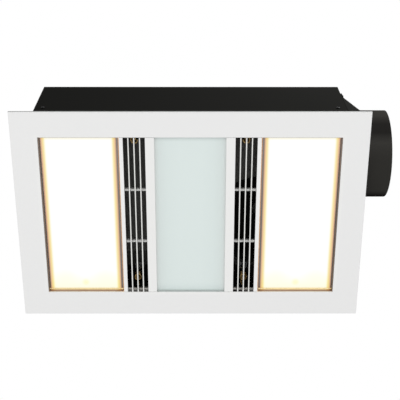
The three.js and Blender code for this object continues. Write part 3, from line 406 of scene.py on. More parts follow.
# Hot-dip zinc on sheet: dull grey with the large flat crystals of the dip
ZINC_SHEET = Finish(
    "hot-dip zinc on sheet steel", "galvanised_steel", "9fa3a5", 0.42, 1.0,
    pattern=Pattern.CRYSTALS, grain=0.7, tone=0.12, gloss=0.08, relief=0.004,
)  # fmt: skip
# Turned steel: bright, with the fine marks of the tool
TURNED_STEEL = Finish("turned steel", "bare_steel", "b4b4b2", 0.28, 1.0, grain=0.2, relief=0.004)
# Oiled steel of the fan's hub: dark and dull
OILED_STEEL = Finish(
    "turned steel, oiled black", "bare_steel", "525150", 0.55, 1.0, grain=0.2, relief=0.004
)
# Rolled strip round the lit glass: satin, drawn in fine lines, with the lamp's warm light painted on its
# edges
RAIL_STEEL = Finish(
    "rolled strip, satin nickel", "rail_steel", "827a77", 0.36, 1.0,
    pattern=Pattern.BRUSHED, grain=0.3, tone=0.08, relief=0.003,
    zones=(
        # painted warm lamp light on the edges beside the grille and beside the border, then painted light
        # and shade at the rear end
        Zone(((0.0, "dcb094"), (7.0, "dcb094")), x_from=117.0, x_to=117.8),
        Zone(((0.0, "dcb094"), (7.0, "dcb094")), x_from=242.4, x_to=243.4),
        Zone(((-1.0, "a48676"), (2.0, "b0907c"), (4.5, "ecd8b4"), (7.5, "fff8dc")), y_from=140.8),
    ),
)  # fmt: skip
# Yellow zinc on spring wire: brass tint that catches the light along each coil
YELLOW_ZINC = Finish(
    "yellow zinc on spring wire", "spring_steel", "ceae74", 0.3, 1.0, grain=0.3, tone=0.1
)
# Rolled and polished aluminium of the lamp troughs: bright, nearly a mirror
POLISHED_ALUMINIUM = Finish(
    "polished aluminium sheet", "reflector_aluminium", "d8d8d4", 0.16, 1.0, grain=0.5
)
# Die-cast alloy of the motor's can: sandy, soft gloss
CAST_ALLOY = Finish("die-cast aluminium", "cast_alloy", "9a9c9d", 0.5, 1.0, grain=0.8, relief=0.03)
# Glass-filled moulding: black and matt, with a fine spark-eroded grain
BLACK_MOULDING = Finish(
    "glass-filled plastic, black", "black_plastic", "242321", 0.6,
    specular=0.002, grain=0.35, relief=0.015,
)  # fmt: skip
# The same plastic on the adaptor, with painted shade on the flange and the transition and painted light and
# shade in bands up the spigot
DUCT_MOULDING = Finish(
    "glass-filled plastic, black, duct", "black_plastic", "242321", 0.55,
    specular=0.0, grain=0.35, relief=0.015,
    zones=(
        # painted shade on the flange and transition, then painted light and shade on the spigot from its
        # underside up
        Zone(((0.0, "1b1b1a"), (200.0, "1b1b1a")), x_from=264.0, x_to=291.0),
        Zone(
            ((12.0, "2f2e2c"), (26.0, "31302e"), (38.0, "1c1b1a"), (53.0, "1a1918"), (74.0, "262523")),
            x_from=291.0,
        ),
    ),
)  # fmt: skip
# White moulding of the fascia: even satin, hardly any grain, with painted shade on the walls behind its
# face and painted warm lamp light at the lit glass
FRAME_MOULDING = Finish(
    "moulded plastic, satin white", "white_moulding", "e7e7e8", 0.42,
    specular=0.4, grain=0.5, tone=0.006, relief=0.004,
    zones=(
        # painted shade on the front rim
        Zone(((-3.35, "e7e7e8"), (-3.1, "c4c4c4"), (-2.6, "7c7e7d"), (0.0, "7c7e7d")), y_to=-186.0),
        # painted warm shade on the window's outer walls
        Zone(
            ((-3.3, "e9e9e9"), (-3.0, "e6e0dc"), (4.0, "d8d0ca")),
            x_from=240.0, x_to=252.0, y_from=-148.0, y_to=148.0,
        ),
        # rear wall: painted shade at the LED glass and at the slots, painted warm lamp light at the lit
        # glass
        Zone(((-3.0, "e9e9e9"), (-2.4, "c8cccb"), (3.0, "d6dbda")), x_to=71.7, y_from=140.0, y_to=148.0),
        Zone(
            ((-3.0, "e9e9e9"), (-2.4, "b4b4b2"), (-0.8, "8d8c8a"), (6.0, "6c6c6b")),
            x_from=71.7, x_to=110.3, y_from=140.0, y_to=148.0,
        ),
        Zone(
            ((-3.3, "e7e7e8"), (-3.0, "fff8ec"), (4.0, "fff2dc")),
            x_from=115.4, x_to=252.0, y_from=140.0, y_to=148.0,
        ),
    ),
)  # fmt: skip
# The same moulding in the grilles, with painted shade down in the slots and painted warm lamp light beside
# the lit glass
GRILLE_MOULDING = Finish(
    "moulded plastic, satin white, slotted", "white_moulding", "ebebec", 0.42,
    specular=0.4, grain=0.5, tone=0.006, relief=0.004,
    zones=(
        # painted shade beside the LED glass
        Zone(((-3.2, "e9e9e9"), (-2.7, "dadcdb"), (3.0, "d4d8d7")), x_to=71.7),
        # slots and bars: painted shade on the walls, painted light higher up on the crossbars
        Zone(
            (
                (-3.36, "e6e6e4"), (-3.2, "5a5a58"), (-1.0, "3c3c3b"), (3.0, "30302f"),
                (3.75, "e6e6e4"), (9.0, "ffffff"),
            ),
            x_from=73.0, x_to=109.0,
        ),
        # painted light and shade at the rear ends of the slots
        Zone(
            (
                (-3.3, "e9e9e9"), (-2.6, "dcdad7"), (-0.5, "dedcd8"), (3.0, "c4c1bc"),
                (6.5, "f2efea"), (7.4, "e0deda"), (8.4, "3c3c3b"),
            ),
            x_from=71.7, x_to=110.3, y_from=139.5,
        ),
        # painted warm lamp light beside the lit glass
        Zone(((-3.38, "ebebed"), (-3.15, "f6d6b4"), (1.5, "f4cca4"), (6.0, "e0a878")), x_from=114.9),
    ),
)  # fmt: skip
# Moulded cases of the small electrical pieces: plain satin, off-white or grey
WHITE_CASE = Finish("moulded plastic, white", "white_plastic", "e2e2df", 0.5, grain=0.5, tone=0.01)
GREY_CASE = Finish("moulded plastic, grey", "grey_plastic", "8d9092", 0.55, grain=0.5)
# Lacquer on the LED board: white and even, glossier than the plastics
WHITE_MASK = Finish("solder mask on board, white", "circuit_board", "e6eae6", 0.35, grain=0.4, tone=0.01)
# Unglazed steatite: chalky, with a dry grain
STEATITE = Finish("unglazed steatite", "ceramic", "e2dccd", 0.75, specular=0.3, grain=0.5, relief=0.03)
# Fused quartz of the lamps: clear and glossy, with a painted warm cast of the glowing wire
QUARTZ = Finish("fused quartz", "quartz_glass", "f4ead6", 0.05, transmission=0.85, grain=1.0, tone=0.01)
# Matt paint of the studio's floor: pale and flat
FLOOR_PAINT = Finish("matt paint on the floor", "", "e4e4e2", 0.9, specular=0.1, grain=4.0, tone=0.01)
# Acid-etched glass: pale aqua with a silky gloss, with painted shade near its edges where its rim sits in
# the grilles
ETCHED_GLASS = EdgedGlass(
    "acid-etched glass, aqua", "frosted_glass", middle=0.0, half_width=58.25, half_length=142.9,
    side_stops=((0.0, "e4e8e7"), (2.5, "d8dfde"), (6.0, "d4dddc"), (20.0, "d8e2e1"), (40.0, "dae4e3")),
    front_stops=((3.0, "e6e6e6"), (5.5, "f6f6f6"), (9.0, "ffffff")),
    rear_stops=((0.0, "f4f6f5"), (6.0, "fafbfb"), (16.0, "ffffff")),
    roughness=0.4, specular=0.3,
)  # fmt: skip
# Etched glass with a lamp behind, whose light is painted as the glass's own glow: white, amber at the long
# edges, cream in two lobes at the far end
LAMP_GLASS = EdgedGlass(
    "etched glass, lit warm from behind", "heat_glass",
    middle=182.05, half_width=60.65, half_length=141.0,
    side_stops=(
        (0.0, "c49c7e"), (1.0, "e4c19e"), (2.4, "f2d69c"), (3.9, "f6e3a4"), (5.5, "fcf4d2"),
        (7.2, "fffef8"), (9.5, "ffffff"),
    ),
    front_stops=((1.5, "f1ecd0"), (4.0, "fdfbee"), (7.0, "ffffff")),
    rear_stops=(
        (0.0, "fbf0d0"), (1.5, "fefce6"), (4.0, "fefee8"), (18.0, "fffff2"), (32.0, "ffffff"),
    ),
    spot_stops=((0.0, "fdfbdc"), (3.0, "fefce4"), (8.0, "ffffff")),
    roughness=0.35, specular=0.1, lobe=7.0, lit=True,
)  # fmt: skip


# Meshes


def enter(piece: bpy.types.Object, body: str | None, node: str) -> None:
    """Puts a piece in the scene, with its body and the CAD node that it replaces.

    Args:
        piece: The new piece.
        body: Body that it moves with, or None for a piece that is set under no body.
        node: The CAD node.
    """
    bpy.context.scene.collection.objects.link(piece)
    if body:
        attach(piece, body)
    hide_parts(node)


def smooth_mesh(name: str, work: bmesh.types.BMesh, finish: Finish) -> bpy.types.Mesh:
    """Turns a closed skin into a mesh that is smooth but for its sharp edges.

    Args:
        name: Name of the mesh.
        work: The skin in metres, which is freed.
        finish: Its surface.

    Returns:
        The mesh.
    """
    bmesh.ops.recalc_face_normals(work, faces=work.faces)
    mesh = bpy.data.meshes.new(name)
    work.to_mesh(mesh)
    work.free()
    mesh.shade_smooth()
    mesh.set_sharp_from_angle(angle=math.radians(SHARP_DEGREES))
    mesh.materials.append(material_of(finish))
    return mesh


def add_piece(
    name: str,
    vertices: Sequence[Point],
    faces: Sequence[Face],
    finish: Finish,
    body: str | None,
    node: str,
) -> bpy.types.Object:
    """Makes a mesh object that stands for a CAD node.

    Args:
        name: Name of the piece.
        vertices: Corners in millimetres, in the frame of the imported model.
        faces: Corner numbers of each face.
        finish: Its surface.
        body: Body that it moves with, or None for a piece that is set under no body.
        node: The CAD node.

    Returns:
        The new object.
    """
    work = bmesh.new()
    corners = [work.verts.new(Vector(corner) * MM) for corner in vertices]
    for face in faces:
        work.faces.new([corners[number] for number in face])
    piece = bpy.data.objects.new(name, smooth_mesh(name, work, finish))
    enter(piece, body, node)
    log.info("%s: %d faces", name, len(faces))
    return piece


def skin(rings: Sequence[Sequence[Point]], closed: bool = False, caps: bool = False) -> list[Face]:
    """Faces between rings that all hold the same number of points.

    Args:
        rings: The rings, in order.
        closed: Joins the last ring to the first.
        caps: Closes both ends with one face each.

    Returns:
        The faces, as numbers into the rings laid end to end.
    """
    count = len(rings[0])
    faces = []
    last = len(rings) if closed else len(rings) - 1
    for ring, i in itertools.product(range(last), range(count)):
        a, b = ring * count, ((ring + 1) % len(rings)) * count
        j = (i + 1) % count
        faces.append((a + i, a + j, b + j, b + i))
    if caps:
        end = (len(rings) - 1) * count
        faces.append(tuple(reversed(range(count))))
        faces.append(tuple(range(end, end + count)))
    return faces


def lathe(profile: Sequence[tuple[float, float]], steps: int, centre: Point) -> Skin:
    """Turns a closed outline round an axis along Z.

    Args:
        profile: Radius and height of each point of the outline.
        steps: Flats round the axis.
        centre: Where the outline's zero lies.

    Returns:
        Vertices and faces.
    """
    turn = [2 * math.pi * i / steps for i in range(steps)]
    rings = [
        [(centre[0] + r * math.cos(a), centre[1] + r * math.sin(a), centre[2] + h) for a in turn]
        for r, h in profile
    ]
    return list(itertools.chain(*rings)), skin(rings, closed=True)


def tube(path: Sequence[Vector], radius: float, sides: int) -> Skin:
    """Sweeps a round wire along a path without twist.

    Args:
        path: Points of the wire's middle.
        radius: Half the wire's thickness.
        sides: Flats round the wire.

    Returns:
        Vertices and faces, with both ends closed.
    """
    rings = []
    along = (path[1] - path[0]).normalized()
    across = along.orthogonal().normalized()
    for i, point in enumerate(path):
        along = (path[min(i + 1, len(path) - 1)] - path[max(i - 1, 0)]).normalized()
        across = (across - along * across.dot(along)).normalized()
        third = along.cross(across)
        angles = [2 * math.pi * k / sides for k in range(sides)]
        rings.append([tuple(point + radius * (across * math.cos(a) + third * math.sin(a))) for a in angles])
    return list(itertools.chain(*rings)), skin(rings, caps=True)


@functools.cache
def smoothing() -> Tree:
    """Makes the node group that shades faces smooth and keeps sharp edges crisp.

    Returns:
        The group, which is made once and handed out again.
    """
    tree = bpy.data.node_groups.new("smooth by angle", "GeometryNodeTree")
    for way in ("INPUT", "OUTPUT"):
        tree.interface.new_socket("Geometry", in_out=way, socket_type="NodeSocketGeometry")
    start = add_node(tree, "NodeGroupInput")
    faces = add_node(tree, "GeometryNodeSetShadeSmooth", {"Shade Smooth": True}, {0: start.outputs[0]})
    angle = add_node(tree, "GeometryNodeInputMeshEdgeAngle")
    limit = {1: math.radians(SHARP_DEGREES)}
    kind = {"data_type": "FLOAT", "operation": "GREATER_THAN"}
    crisp = add_node(tree, "FunctionNodeCompare", limit, {0: angle.outputs[0]}, **kind)
    links = {0: faces.outputs[0], "Selection": crisp.outputs[0]}
    edges = add_node(tree, "GeometryNodeSetShadeSmooth", {"Shade Smooth": False}, links, domain="EDGE")
    add_node(tree, "NodeGroupOutput", links={0: edges.outputs[0]})
    return tree


def dress(finish: Finish | EdgedGlass, edge: float, *names: str) -> None:
    """Gives CAD nodes their finish and rounds their edges.

    Args:
        finish: Their surface.
        edge: Width of the rounding in millimetres, or 0 for none.
        *names: The nodes.
    """
    for name in names:
        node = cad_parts[name]
        for place in node.material_slots:
            place.material = material_of(finish)
        weld = node.modifiers.new("weld", "WELD")
        weld.merge_threshold = WELD
        flat = node.modifiers.new("flat", "DECIMATE")
        flat.decimate_type = "DISSOLVE"
        flat.angle_limit = math.radians(FLAT_DEGREES)
        if edge:
            bevel = node.modifiers.new("edge", "BEVEL")
            bevel.width = edge * MM
            bevel.segments = ROUNDING_STEPS
            bevel.use_clamp_overlap = False  # or the smallest step would thin them all
            bevel.limit_method = "ANGLE"
            bevel.angle_limit = math.radians(SHARP_DEGREES)
        shade = node.modifiers.new("shade", "NODES")
        shade.node_group = smoothing()
        even = node.modifiers.new("even", "WEIGHTED_NORMAL")  # keeps the large faces flat
        even.keep_sharp = True
        log.info("%s: %s", name, finish.name)


# Surroundings


@dataclass
class Studio:
    """White surroundings, a pale floor far below and large soft lamps."""

    floor_drop: float = 2300.0
    floor_radius: float = 60000.0
    floor_steps: int = 64
    daylight: float = 0.83
    lamps: tuple[tuple[Point, float, float], ...] = (  # place, size and watts
        ((700.0, -300.0, -1800.0), 1800.0, 9.5),
        ((-1000.0, 0.0, -1800.0), 1800.0, 9.0),
        ((650.0, -750.0, 400.0), 500.0, 12.0),
    )

    def build(self) -> None:
        """Makes the sky, the floor and the lamps."""
        bpy.context.scene.view_settings.view_transform = "Standard"
        self.sky()
        self.floor()
        for number, (place, size, power) in enumerate(self.lamps):
            self.lamp(f"soft_lamp_{number + 1}", place, size, power)
        log.info("studio: %d lamps", len(self.lamps))

    def sky(self) -> None:
        """A white backdrop that lights the object a little less than it shows."""
        world = bpy.data.worlds.new("studio")
        bpy.context.scene.world = world
        world.use_nodes = True
        tree = world.node_tree
        tree.nodes.clear()
        path = add_node(tree, "ShaderNodeLightPath")
        seen = path.outputs["Is Camera Ray"]
        for ray in ("Is Glossy Ray", "Is Transmission Ray"):
            links = {0: seen, 1: path.outputs[ray]}
            seen = add_node(tree, "ShaderNodeMath", links=links, operation="MAXIMUM").outputs[0]
        white = (1.0, 1.0, 1.0, 1.0)
        light = add_node(tree, "ShaderNodeBackground", {0: white, 1: self.daylight})
        shown = add_node(tree, "ShaderNodeBackground", {0: white, 1: 1.0})
        links = {0: seen, 1: light.outputs[0], 2: shown.outputs[0]}
        mixed = add_node(tree, "ShaderNodeMixShader", links=links)
        add_node(tree, "ShaderNodeOutputWorld", links={0: mixed.outputs[0]})

    def floor(self) -> None:
        """A plain pale disc far below the ceiling."""
        mesh = bpy.data.meshes.new("floor")
        work = bmesh.new()
        radius = self.floor_radius * MM
        bmesh.ops.create_circle(work, cap_ends=True, segments=self.floor_steps, radius=radius)
        work.to_mesh(mesh)
        work.free()
        mesh.materials.append(material_of(FLOOR_PAINT))
        floor = bpy.data.objects.new("floor", mesh)
        floor.location.z = -self.floor_drop * MM
        bpy.context.scene.collection.objects.link(floor)

    def lamp(self, name: str, place: Point, size: float, power: float) -> None:
        """Adds a square lamp that faces the middle of the heater.

        Args:
            name: Name of the lamp.
            place: Its middle in millimetres.
            size: Its side in millimetres.
            power: Watts.
        """
        light = bpy.data.lights.new(name, "AREA")
        light.energy = power
        light.size = size * MM
        lamp = bpy.data.objects.new(name, light)
        lamp.location = Vector(place) * MM
        lamp.rotation_euler = (-lamp.location).to_track_quat("-Z", "Y").to_euler()
        bpy.context.scene.collection.objects.link(lamp)


@dataclass
class PhotoCamera:
    """The camera of the photograph, below the ceiling and in front of the heater."""

    place: Point = (11.24, -691.25, -1419.04)
    tilt: float = 155.054
    lean: float = 0.153
    turn: float = -0.075
    lens: float = 84.82
    sensor: float = 36.0

    def build(self) -> None:
        """Makes the camera and sets it as the scene's."""
        data = bpy.data.cameras.new("camera")
        data.lens = self.lens
        data.sensor_width = self.sensor
        camera = bpy.data.objects.new("camera", data)
        camera.location = Vector(self.place) * MM
        camera.rotation_euler = [math.radians(angle) for angle in (self.tilt, self.lean, self.turn)]
        bpy.context.scene.collection.objects.link(camera)
        bpy.context.scene.camera = camera


# The heater


@dataclass
class Housing:
    """Folded steel housing with the deck that carries the fan."""

    sheet_edge: float = 0.3
    capacitor_edge: float = 1.0
    driver_edge: float = 0.6

    def build(self) -> None:
        """Dresses the sheets and the small cases that stand on the deck."""
        dress(BLACK_COAT, self.sheet_edge, "housing_shell")
        dress(DECK_COAT, self.sheet_edge, "fan_deck")
        dress(GREY_CASE, self.capacitor_edge, "motor_capacitor")
        dress(WHITE_CASE, self.driver_edge, "led_driver")


@dataclass
class DuctAdaptor:
    """Moulded adaptor: square flange, a transition and a round spigot."""

    wall_x: float = 264.1
    axis_y: float = -79.3
    axis_z: float = 86.4
    half_flange: float = 81.7
    flange_corner: float = 2.0
    flange_sheet: float = 2.4
    base_half: float = 79.9
    base_corner: float = 20.0
    transition: float = 23.0
    bend: float = 1.0  # half the width of the turn into the spigot
    radius: float = 74.3
    wall: float = 1.6
    spigot: float = 43.0
    lip: float = 0.7
    quarter_steps: int = 32
    edge: float = 0.5

    def section(self, x: float, half: float, corner: float) -> list[Point]:
        """A square with round corners across the duct's axis.

        Args:
            x: Distance from the wall.
            half: Half the square's side.
            corner: Radius of its corners, as large as the half side for a circle.

        Returns:
            Its points.
        """
        count = 4 * self.quarter_steps
        points = []
        for i in range(count):
            angle = (i + 0.5) / count * 2 * math.pi
            across = math.copysign(half - corner, math.cos(angle)) + corner * math.cos(angle)
            up = math.copysign(half - corner, math.sin(angle)) + corner * math.sin(angle)
            points.append((self.wall_x + x, self.axis_y + across, self.axis_z + up))
        return points

    def build(self) -> None:
        """Makes the adaptor as one closed skin, out along its outside and back along its bore."""
        end = self.flange_sheet + self.transition
        far = end + self.spigot
        bore = self.radius - self.wall
        inner = self.base_half - self.wall
        inner_corner = self.base_corner - self.wall
        half, corner, edge, lip = self.half_flange, self.flange_corner, self.edge, self.lip
        middle = self.radius - self.wall / 2
        rings = [
            self.section(0, half, corner),
            self.section(self.flange_sheet - edge, half, corner),
            self.section(self.flange_sheet - edge / 3, half - edge / 3, corner),
            self.section(self.flange_sheet, half - edge, corner),
            self.section(self.flange_sheet, self.base_half + edge, self.base_corner + edge),
            self.section(self.flange_sheet + edge, self.base_half, self.base_corner),
            self.section(end - self.bend, *self.between(self.bend / self.transition)),
            self.section(end + self.bend, self.radius, self.radius),
            self.section(far - lip, self.radius, self.radius),
            self.section(far - lip / 4, self.radius - lip / 4, self.radius - lip / 4),
            self.section(far, middle, middle),
            self.section(far - lip / 4, bore + lip / 4, bore + lip / 4),
            self.section(far - lip, bore, bore),
            self.section(end, bore, bore),
            self.section(self.flange_sheet, inner, inner_corner),
            self.section(0, inner, inner_corner),
        ]
        faces = skin(rings, closed=True)
        vertices = list(itertools.chain(*rings))
        add_piece("spigot_adaptor", vertices, faces, DUCT_MOULDING, "housing", "duct_adaptor")

    def between(self, share: float) -> tuple[float, float]:
        """Half side and corner of the transition, a share of its length short of the circle."""
        half = self.radius + share * (self.base_half - self.radius)
        return half, self.radius + share * (self.base_corner - self.radius)


@dataclass
class BackdraftDamper:
    """Hinged flap and its frame, inside the adaptor."""

    edge: float = 0.25

    def build(self) -> None:
        """Dresses the frame, the pin and the flap."""
        dress(ZINC_SHEET, self.edge, "damper_frame", "backdraft_flap")
        dress(TURNED_STEEL, self.edge, "damper_pin")


@dataclass
class FanUnit:
    """Centrifugal fan: bell mouth, wheel, scroll and motor."""

    axis_x: float = 121.0
    axis_y: float = 39.75
    inlet_radius: float = 84.0
    throat_radius: float = 73.0
    throat_height: float = 10.5
    inlet_sheet: float = 1.2
    inlet_flange: float = 10.0
    inlet_edge: float = 0.3
    throat_steps: int = 10
    wheel_bottom: float = 76.8
    wheel_radius: float = 92.0
    wheel_width: float = 58.0
    blade_root: float = 78.0
    blades: int = 28
    blade_sheet: float = 1.2
    blade_steps: int = 8
    blade_sweep: float = 8.0  # degrees that the tip leads the root by
    blade_lean: float = 2.5  # degrees that the blade's middle hangs back
    blade_inset: float = 0.4  # from the rings' edges, and into the rings
    blade_end: float = 0.45  # thickness of a blade's two edges, as a share of its sheet
    blade_taper: float = 3.0  # how fast it reaches its full thickness
    ring: float = 2.0
    ring_edge: float = 0.4
    fine_steps: int = 128
    part_edge: float = 0.3
    motor_edge: float = 0.5

    def build(self) -> None:
        """Makes the bell mouth and the wheel, and dresses the rest."""
        self.bell_mouth()
        self.wheel()
        dress(BLACK_MOULDING, self.part_edge, "impeller_plate")
        dress(ZINC_SHEET, self.part_edge, "fan_scroll", "motor_mount_plate")
        dress(CAST_ALLOY, self.motor_edge, "fan_motor")
        dress(OILED_STEEL, self.part_edge, "impeller_hub", "motor_shaft")

    def bell_mouth(self) -> None:
        """A pressed ring that curls up from the deck's hole into the wheel."""
        below, above = [], []
        sheet = self.inlet_sheet
        for i in range(self.throat_steps + 1):
            angle = i / self.throat_steps * math.pi / 2
            radius = self.inlet_radius - (self.inlet_radius - self.throat_radius) * math.sin(angle)
            height = self.throat_height * (1 - math.cos(angle))
            below.append((radius, height))
            above.append((radius + sheet * math.sin(angle), height + sheet * math.cos(angle)))
        rim = self.inlet_radius + self.inlet_flange
        edge = self.inlet_edge
        outside = [(rim - edge, sheet), (rim, sheet - edge), (rim, edge), (rim - edge, 0)]
        profile = [*below, *reversed(above), *outside]
        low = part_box("inlet_ring")[0].z / MM
        vertices, faces = lathe(profile, self.fine_steps, (self.axis_x, self.axis_y, low))
        add_piece("bell_mouth", vertices, faces, BLACK_COAT, "housing", "inlet_ring")

    def blade(self, turn: float) -> list[Point]:
        """The plan of one blade.

        Args:
            turn: Its place round the wheel, in radians.

        Returns:
            Its outline at height zero, round the wheel's axis.
        """
        front, back = [], []
        root = self.blade_root + self.blade_inset
        for i in range(self.blade_steps + 1):
            share = i / self.blade_steps
            radius = root + share * (self.wheel_radius - self.blade_inset - root)
            lead = self.blade_sweep * share - self.blade_lean * math.sin(share * math.pi)
            angle = math.radians(lead) + turn
            taper = min(1.0, self.blade_end + self.blade_taper * min(share, 1 - share))
            half = self.blade_sheet / 2 * taper / radius
            front.append((radius * math.cos(angle + half), radius * math.sin(angle + half), 0.0))
            back.append((radius * math.cos(angle - half), radius * math.sin(angle - half), 0.0))
        return [*front, *reversed(back)]

    def wheel(self) -> None:
        """Curved blades between two rings."""
        centre = (self.axis_x, self.axis_y, self.wheel_bottom)
        root, rim, ring, edge = self.blade_root, self.wheel_radius, self.ring, self.ring_edge
        hoop = [
            (root + edge, 0), (rim - edge, 0), (rim, edge), (rim, ring - edge),
            (rim - edge, ring), (root + edge, ring), (root, ring - edge), (root, edge),
        ]  # fmt: skip
        vertices, faces = [], []
        for lift in (0.0, self.wheel_width - ring):
            points, skins = lathe([(r, h + lift) for r, h in hoop], self.fine_steps, centre)
            faces += [tuple(len(vertices) + corner for corner in face) for face in skins]
            vertices += points
        low = ring - self.blade_inset
        for i in range(self.blades):
            plan = self.blade(2 * math.pi * i / self.blades)
            rings = [
                [(centre[0] + x, centre[1] + y, centre[2] + z) for x, y, _ in plan]
                for z in (low, self.wheel_width - low)
            ]
            faces += [tuple(len(vertices) + corner for corner in face) for face in skin(rings, caps=True)]
            vertices += itertools.chain(*rings)
        add_piece("fan_wheel", vertices, faces, BLACK_MOULDING, "impeller", "impeller_wheel")


@dataclass
class HeatLamps:
    """Quartz lamps with their holders and troughs, behind the heat glasses."""

    trough_edge: float = 0.2
    holder_edge: float = 0.8

    def build(self) -> None:
        """Dresses the lamps on both sides."""
        for side in ("left", "right"):
            dress(POLISHED_ALUMINIUM, self.trough_edge, f"lamp_reflector_{side}")
            dress(QUARTZ, 0.0, f"lamp_tube_{side}")
            for end in ("front", "rear"):
                dress(STEATITE, self.holder_edge, f"lamp_holder_{side}_{end}")


@dataclass
class LightPanel:
    """LED tray and board behind an etched glass."""

    tray_edge: float = 0.25
    glass_edge: float = 0.5

    def build(self) -> None:
        """Dresses the tray, the board and the glass."""
        dress(ZINC_SHEET, self.tray_edge, "led_tray")
        dress(WHITE_MASK, 0.0, "led_board")
        dress(ETCHED_GLASS, self.glass_edge, "led_diffuser")


@dataclass
class Fascia:
    """White fascia with its grilles, heat glasses and their frames."""

    frame_edge: float = 0.6
    grille_edge: float = 0.5
    glass_edge: float = 0.4
    rail_edge: float = 0.12

    def build(self) -> None:
        """Dresses the mouldings, the glass and its frames."""
        dress(FRAME_MOULDING, self.frame_edge, "fascia_frame")
        for side in ("left", "right"):
            dress(GRILLE_MOULDING, self.grille_edge, f"grille_{side}")
            dress(LAMP_GLASS, self.glass_edge, f"heat_glass_{side}")
            dress(RAIL_STEEL, self.rail_edge, f"glass_frame_{side}")


@dataclass
class FasciaSprings:
    """Four tension springs between the fascia's clips and the brackets under the deck."""

    x: float = 92.0
    y: float = 129.0
    clip_inset: float = 3.4
    clip_outset: float = 8.2
    clip_bottom: float = 12.3
    clip_sheet: float = 1.0
    diameter: float = 13.0
    wire: float = 1.8
    curls: int = 5
    pitch: float = 2.4
    bottom: float = 22.6
    foot_length: float = 3.2
    rise_past_lug: float = 1.6
    hook_radius: float = 3.2
    hook_top: float = 60.0
    hook_tip: float = 1.2
    least_lead: float = 90.0  # degrees from the last curl to the hook
    holder_edge: float = 0.2
    curl_steps: int = 28
    tail_steps: int = 30
    lead_steps: int = 18
    hook_steps: int = 24
    sides: int = 12

    def build(self) -> None:
        """Makes the springs and dresses what holds them."""
        for (side, left_right), (end, front_rear) in itertools.product(
            ((-1, "left"), (1, "right")), ((-1, "front"), (1, "rear"))
        ):
            place = f"{front_rear}_{left_right}"
            dress(ZINC_SHEET, self.holder_edge, f"spring_bracket_{place}")
            dress(BLACK_ZINC, self.holder_edge, f"fascia_clip_{place}")
            axis = Vector((side * self.x, end * self.y, 0))
            path = [axis + point for point in self.path(-side * self.clip_inset, end * self.clip_outset)]
            vertices, faces = tube(path, self.wire / 2, self.sides)
            name, node = f"tension_spring_{place}", f"fascia_spring_{place}"
            spring = add_piece(name, vertices, faces, YELLOW_ZINC, None, node)
            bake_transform(spring)

    def tail(self, corners: Sequence[Vector]) -> list[Vector]:
        """A smooth curve through the corners of the spring's tail.

        Args:
            corners: Points that it passes through.

        Returns:
            Points along it.
        """
        padded = [2 * corners[0] - corners[1], *corners, 2 * corners[-1] - corners[-2]]
        points = []
        for i in range(self.tail_steps + 1):
            place = i / self.tail_steps * (len(corners) - 1)
            first = min(int(place), len(corners) - 2)
            points.append(catmull_rom(padded[first : first + 4], place - first))
        return points

    def path(self, clip_x: float, clip_y: float) -> list[Vector]:
        """The wire's middle line round the spring's own axis.

        Args:
            clip_x: Where the clip's hole lies, from the axis.
            clip_y: The same along Y.

        Returns:
            Points from the foot under the clip to the hook in the bracket.
        """
        radius = self.wire / 2
        mean = (self.diameter - self.wire) / 2
        start = math.atan2(clip_y, clip_x) + math.acos(mean / math.hypot(clip_x, clip_y))
        hole = Vector((clip_x, clip_y, 0))
        inward = -hole.normalized()
        foot = self.clip_bottom - GAP - radius

        def at(along: float, z: float) -> Vector:
            """A point on the line from the clip's hole to the axis."""
            return Vector((*(hole + inward * along).xy, z))

        def round_axis(angle: float, reach: float, z: float) -> Vector:
            """A point round the spring's axis."""
            return Vector((reach * math.cos(angle), reach * math.sin(angle), z))

        points = self.tail(
            [
                at(self.foot_length, foot),
                at(self.foot_length / 2, foot),
                at(0, foot + radius),
                at(0, self.clip_bottom + self.clip_sheet + self.rise_past_lug),
                round_axis(start, mean, self.bottom),
            ]
        )
        for i in range(1, self.curls * self.curl_steps + 1):
            turns = i / self.curl_steps
            points.append(round_axis(start + turns * 2 * math.pi, mean, self.bottom + turns * self.pitch))
        last = start + self.curls * 2 * math.pi
        hook_angle = math.ceil((last + math.radians(self.least_lead)) / math.pi) * math.pi
        side = math.cos(hook_angle)
        top = self.bottom + self.curls * self.pitch
        base = self.hook_top - self.hook_radius
        for i in range(1, self.lead_steps):
            share = i / self.lead_steps
            angle = last + share * (hook_angle - last)
            reach = mean + share * (self.hook_radius - mean)
            points.append(round_axis(angle, reach, top + share * share * (base - top)))
        for i in range(self.hook_steps + 1):
            angle = i / self.hook_steps * math.pi
            x = side * self.hook_radius * math.cos(angle)
            points.append(Vector((x, 0, base + self.hook_radius * math.sin(angle))))
        points.append(Vector((-side * self.hook_radius, 0, base - self.hook_tip)))
        return points


def catmull_rom(corners: Sequence[Vector], share: float) -> Vector:
    """A point on a centripetal curve through four corners.

    Args:
        corners: The corner before the stretch, its two ends and the corner after it.
        share: Place on the stretch, from 0 to 1.

    Returns:
        The point.
    """
    before, first, second, after = corners
    least = 1e-4  # so that two corners in one place divide by no zero
    spans = [max((b - a).length ** 0.5, least) for a, b in itertools.pairwise(corners)]
    slope_in = (first - before) / spans[0] - (second - before) / (spans[0] + spans[1])
    slope_in = (slope_in + (second - first) / spans[1]) * spans[1]
    slope_out = (second - first) / spans[1] - (after - first) / (spans[1] + spans[2])
    slope_out = (slope_out + (after - second) / spans[2]) * spans[1]
    cubic = 2 * first - 2 * second + slope_in + slope_out
    square = -3 * first + 3 * second - 2 * slope_in - slope_out
    return first + slope_in * share + square * share**2 + cubic * share**3


